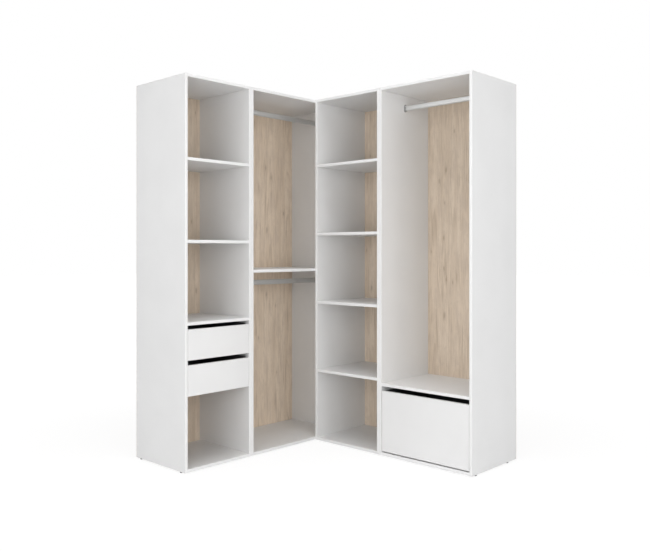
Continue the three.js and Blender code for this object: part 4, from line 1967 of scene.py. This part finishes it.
@dataclass
class Studio:
    """The floor, the even white room, the soft boxes and the camera."""

    eye: tuple[float, float, float] = (2798.5, -2980.47, 1135.25)
    azimuth: float = 43.24
    lens: float = 41.375
    sensor: float = 36.0
    shift_up: float = -24 / 650
    view_end: float = 100000.0
    floor_side: float = 60000.0
    floor_grey: float = 0.86
    floor_white: float = 1.06
    floor_fade: tuple[float, float] = (1200.0, 4000.0)
    floor_share: float = 0.82
    middle: tuple[float, float, float] = (0.0, 0.0, 1000.0)
    room_light: float = 0.095
    boxes: tuple[SoftBox, ...] = (
        SoftBox("front_box", 0.0, 5.0, 5000.0, 3000.0, 68.0),
        SoftBox("near_left_box", -28.0, 8.0, 2500.0, 2500.0, 34.0),
        SoftBox("near_right_box", 28.0, 8.0, 2500.0, 2500.0, 41.0),
        SoftBox("far_left_box", -60.0, 10.0, 4000.0, 3000.0, 39.0),
        SoftBox("far_right_box", 60.0, 10.0, 4000.0, 3000.0, 38.0),
        SoftBox("top_box", 0.0, 80.0, 4000.0, 4000.0, 146.0),
        SoftBox("high_box", 0.0, 40.0, 4000.0, 3000.0, 6.0),
        SoftBox("back_box", 180.0, 12.0, 5000.0, 3000.0, 110.0),
    )

    def build(self) -> None:
        """Makes everything round the wardrobe."""
        bpy.context.scene.view_settings.view_transform = "Standard"
        self._camera()
        self._floor()
        self._world()
        for box in self.boxes:
            self._lamp(box)

    def _camera(self) -> None:
        """A level camera at the photograph's angle."""
        data = bpy.data.cameras.new("camera")
        data.lens = self.lens
        data.sensor_width = self.sensor
        data.sensor_fit = "HORIZONTAL"
        data.shift_y = self.shift_up
        data.clip_end = self.view_end * METRES
        camera = linked("camera", data)
        camera.location = Vector(self.eye) * METRES
        camera.rotation_euler = (math.pi / 2, 0.0, math.radians(self.azimuth))
        bpy.context.scene.camera = camera

    @staticmethod
    def _seen(graph: Graph, *rays: str) -> Value:
        """1 where a ray of one of these kinds looks, else 0."""
        path = graph.node("ShaderNodeLightPath")
        return reduce(Value.larger, (Value(graph, path.outputs[ray]) for ray in rays))

    def _floor(self) -> None:
        """A plain pale floor, white to the camera, that keeps a soft shadow."""
        half = self.floor_side / 2 * METRES
        mesh = bpy.data.meshes.new("floor")
        corners = rounded((-half, -half), (half, half), (0,) * 4)
        mesh.from_pydata([(x, y, 0.0) for x, y in corners], [], [range(4)])
        material = bpy.data.materials.new("studio_floor")
        material.use_nodes = True
        graph = Graph(material.node_tree)
        grey = {"Color": (*(self.floor_grey,) * 3, 1.0)}
        matt = graph.value("ShaderNodeBsdfDiffuse", {}, grey)
        white = graph.value("ShaderNodeEmission", {},
                            {"Color": WHITE, "Strength": self.floor_white})
        place = graph.node("ShaderNodeTexCoord").outputs["Object"]
        away = graph.value("ShaderNodeVectorMath", {"operation": "LENGTH"}, {0: place}, "Value")
        faded = away.ramp(*(end * METRES for end in self.floor_fade))
        share = self.floor_share + (1 - self.floor_share) * faded
        amount = share * self._seen(graph, "Is Camera Ray")
        mixed = graph.value("ShaderNodeMixShader", {}, {0: amount, 1: matt, 2: white})
        graph.node("ShaderNodeOutputMaterial", {}, {0: mixed})
        mesh.materials.append(material)
        floor = linked("floor", mesh)

    def _world(self) -> None:
        """An even white room, seen as plain white."""
        world = bpy.data.worlds.new("studio")
        world.use_nodes = True
        graph = Graph(world.node_tree)
        seen = self._seen(graph, "Is Camera Ray", "Is Glossy Ray", "Is Transmission Ray")
        strength = seen * (1 - self.room_light) + self.room_light
        light = graph.value("ShaderNodeBackground", {}, {"Color": WHITE, "Strength": strength})
        graph.node("ShaderNodeOutputWorld", {}, {0: light})
        bpy.context.scene.world = world

    def _lamp(self, box: SoftBox) -> None:
        """Hangs a soft box.

        Args:
            box: its size, power and direction, with azimuth counted from the camera's.
        """
        data = bpy.data.lights.new(box.name, "AREA")
        data.shape = "RECTANGLE"
        data.size = box.width * METRES
        data.size_y = box.height * METRES
        data.energy = box.power
        lamp = linked(box.name, data)
        azimuth = math.radians(self.azimuth + box.azimuth)
        elevation = math.radians(box.elevation)
        level = math.cos(elevation)
        away = Vector((math.sin(azimuth) * level, -math.cos(azimuth) * level, math.sin(elevation)))
        lamp.location = (Vector(self.middle) + away * box.distance) * METRES
        lamp.rotation_euler = (math.pi / 2 - elevation, 0.0, azimuth)


def carcasses() -> list[Carcass]:
    """The four carcasses, with the print of each back panel and the painted light on it.

    Returns:
        The carcasses from the left end to the right one.
    """
    # Each panel's lightness factor is painted light, standing in for how much light reaches its bay.
    tower_decor = OakDecor(
        "oak_decor_tower", Run.LEFT, joint=-308.0, shift=3.0, painted_lightness=1.02, figure=0.65,
        knots=(Knot(-296.0, 905.0, 5.0), Knot(-330.0, 1310.0, 4.0)))
    corner_decor = OakDecor(
        "oak_decor_corner", Run.LEFT, joint=241.0, shift=11.0, painted_lightness=1.28,
        knots=(Knot(254.0, 1672.0, 6.0), Knot(302.0, 1612.0, 4.5), Knot(265.0, 1273.0, 6.5),
               Knot(262.0, 860.0, 5.5), Knot(412.0, 1385.0, 4.0)))
    column_decor = OakDecor(
        "oak_decor_column", Run.RIGHT, joint=-267.5, shift=5.0, painted_lightness=1.12, figure=0.65,
        knots=(Knot(-262.0, 1745.0, 4.0), Knot(-250.0, 905.0, 4.5)))
    hanging_decor = OakDecor(
        "oak_decor_hanging", Run.RIGHT, joint=332.5, shift=8.0, painted_lightness=1.04,
        knots=(Knot(315.0, 1613.0, 5.5), Knot(268.5, 1551.0, 5.0), Knot(304.0, 760.0, 7.5),
               Knot(372.0, 1835.0, 4.0), Knot(299.0, 1215.0, 5.0), Knot(301.0, 1035.0, 5.0)))
    left_feet, right_feet = Feet(rear_setback=36.0), Feet(rear_setback=84.0)
    return [
        Carcass("tower", Run.LEFT, _shelves(3), tower_decor, left_feet),
        Carcass("corner", Run.LEFT, ("shelf",), corner_decor, left_feet),
        Carcass("column", Run.RIGHT, _shelves(4), column_decor, right_feet),
        Carcass("hanging", Run.RIGHT, ("shelf",), hanging_decor, right_feet),
    ]


def _shelves(count: int) -> tuple[str, ...]:
    """The names of numbered shelves."""
    return tuple(f"shelf_{number}" for number in range(1, count + 1))


def main() -> None:
    """Builds the studio, the carcasses, the rails and the drawers, in this order."""
    logging.basicConfig(level=logging.INFO, format="%(message)s")
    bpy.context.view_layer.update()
    Studio().build()
    for carcass in carcasses():
        carcass.build()
    HangingRail("corner_upper_", Run.LEFT).build()
    HangingRail("corner_lower_", Run.LEFT).build()
    HangingRail("hanging_", Run.RIGHT).build()
    tower_walls = ("tower_left_side", "tower_right_side")
    Drawer("upper_drawer", Run.LEFT, tower_walls).build()
    Drawer("lower_drawer", Run.LEFT, tower_walls).build()
    Drawer("deep_drawer", Run.RIGHT, ("hanging_left_side", "hanging_right_side")).build()
    Fittings.clear()


if __name__ == "__main__":
    main()
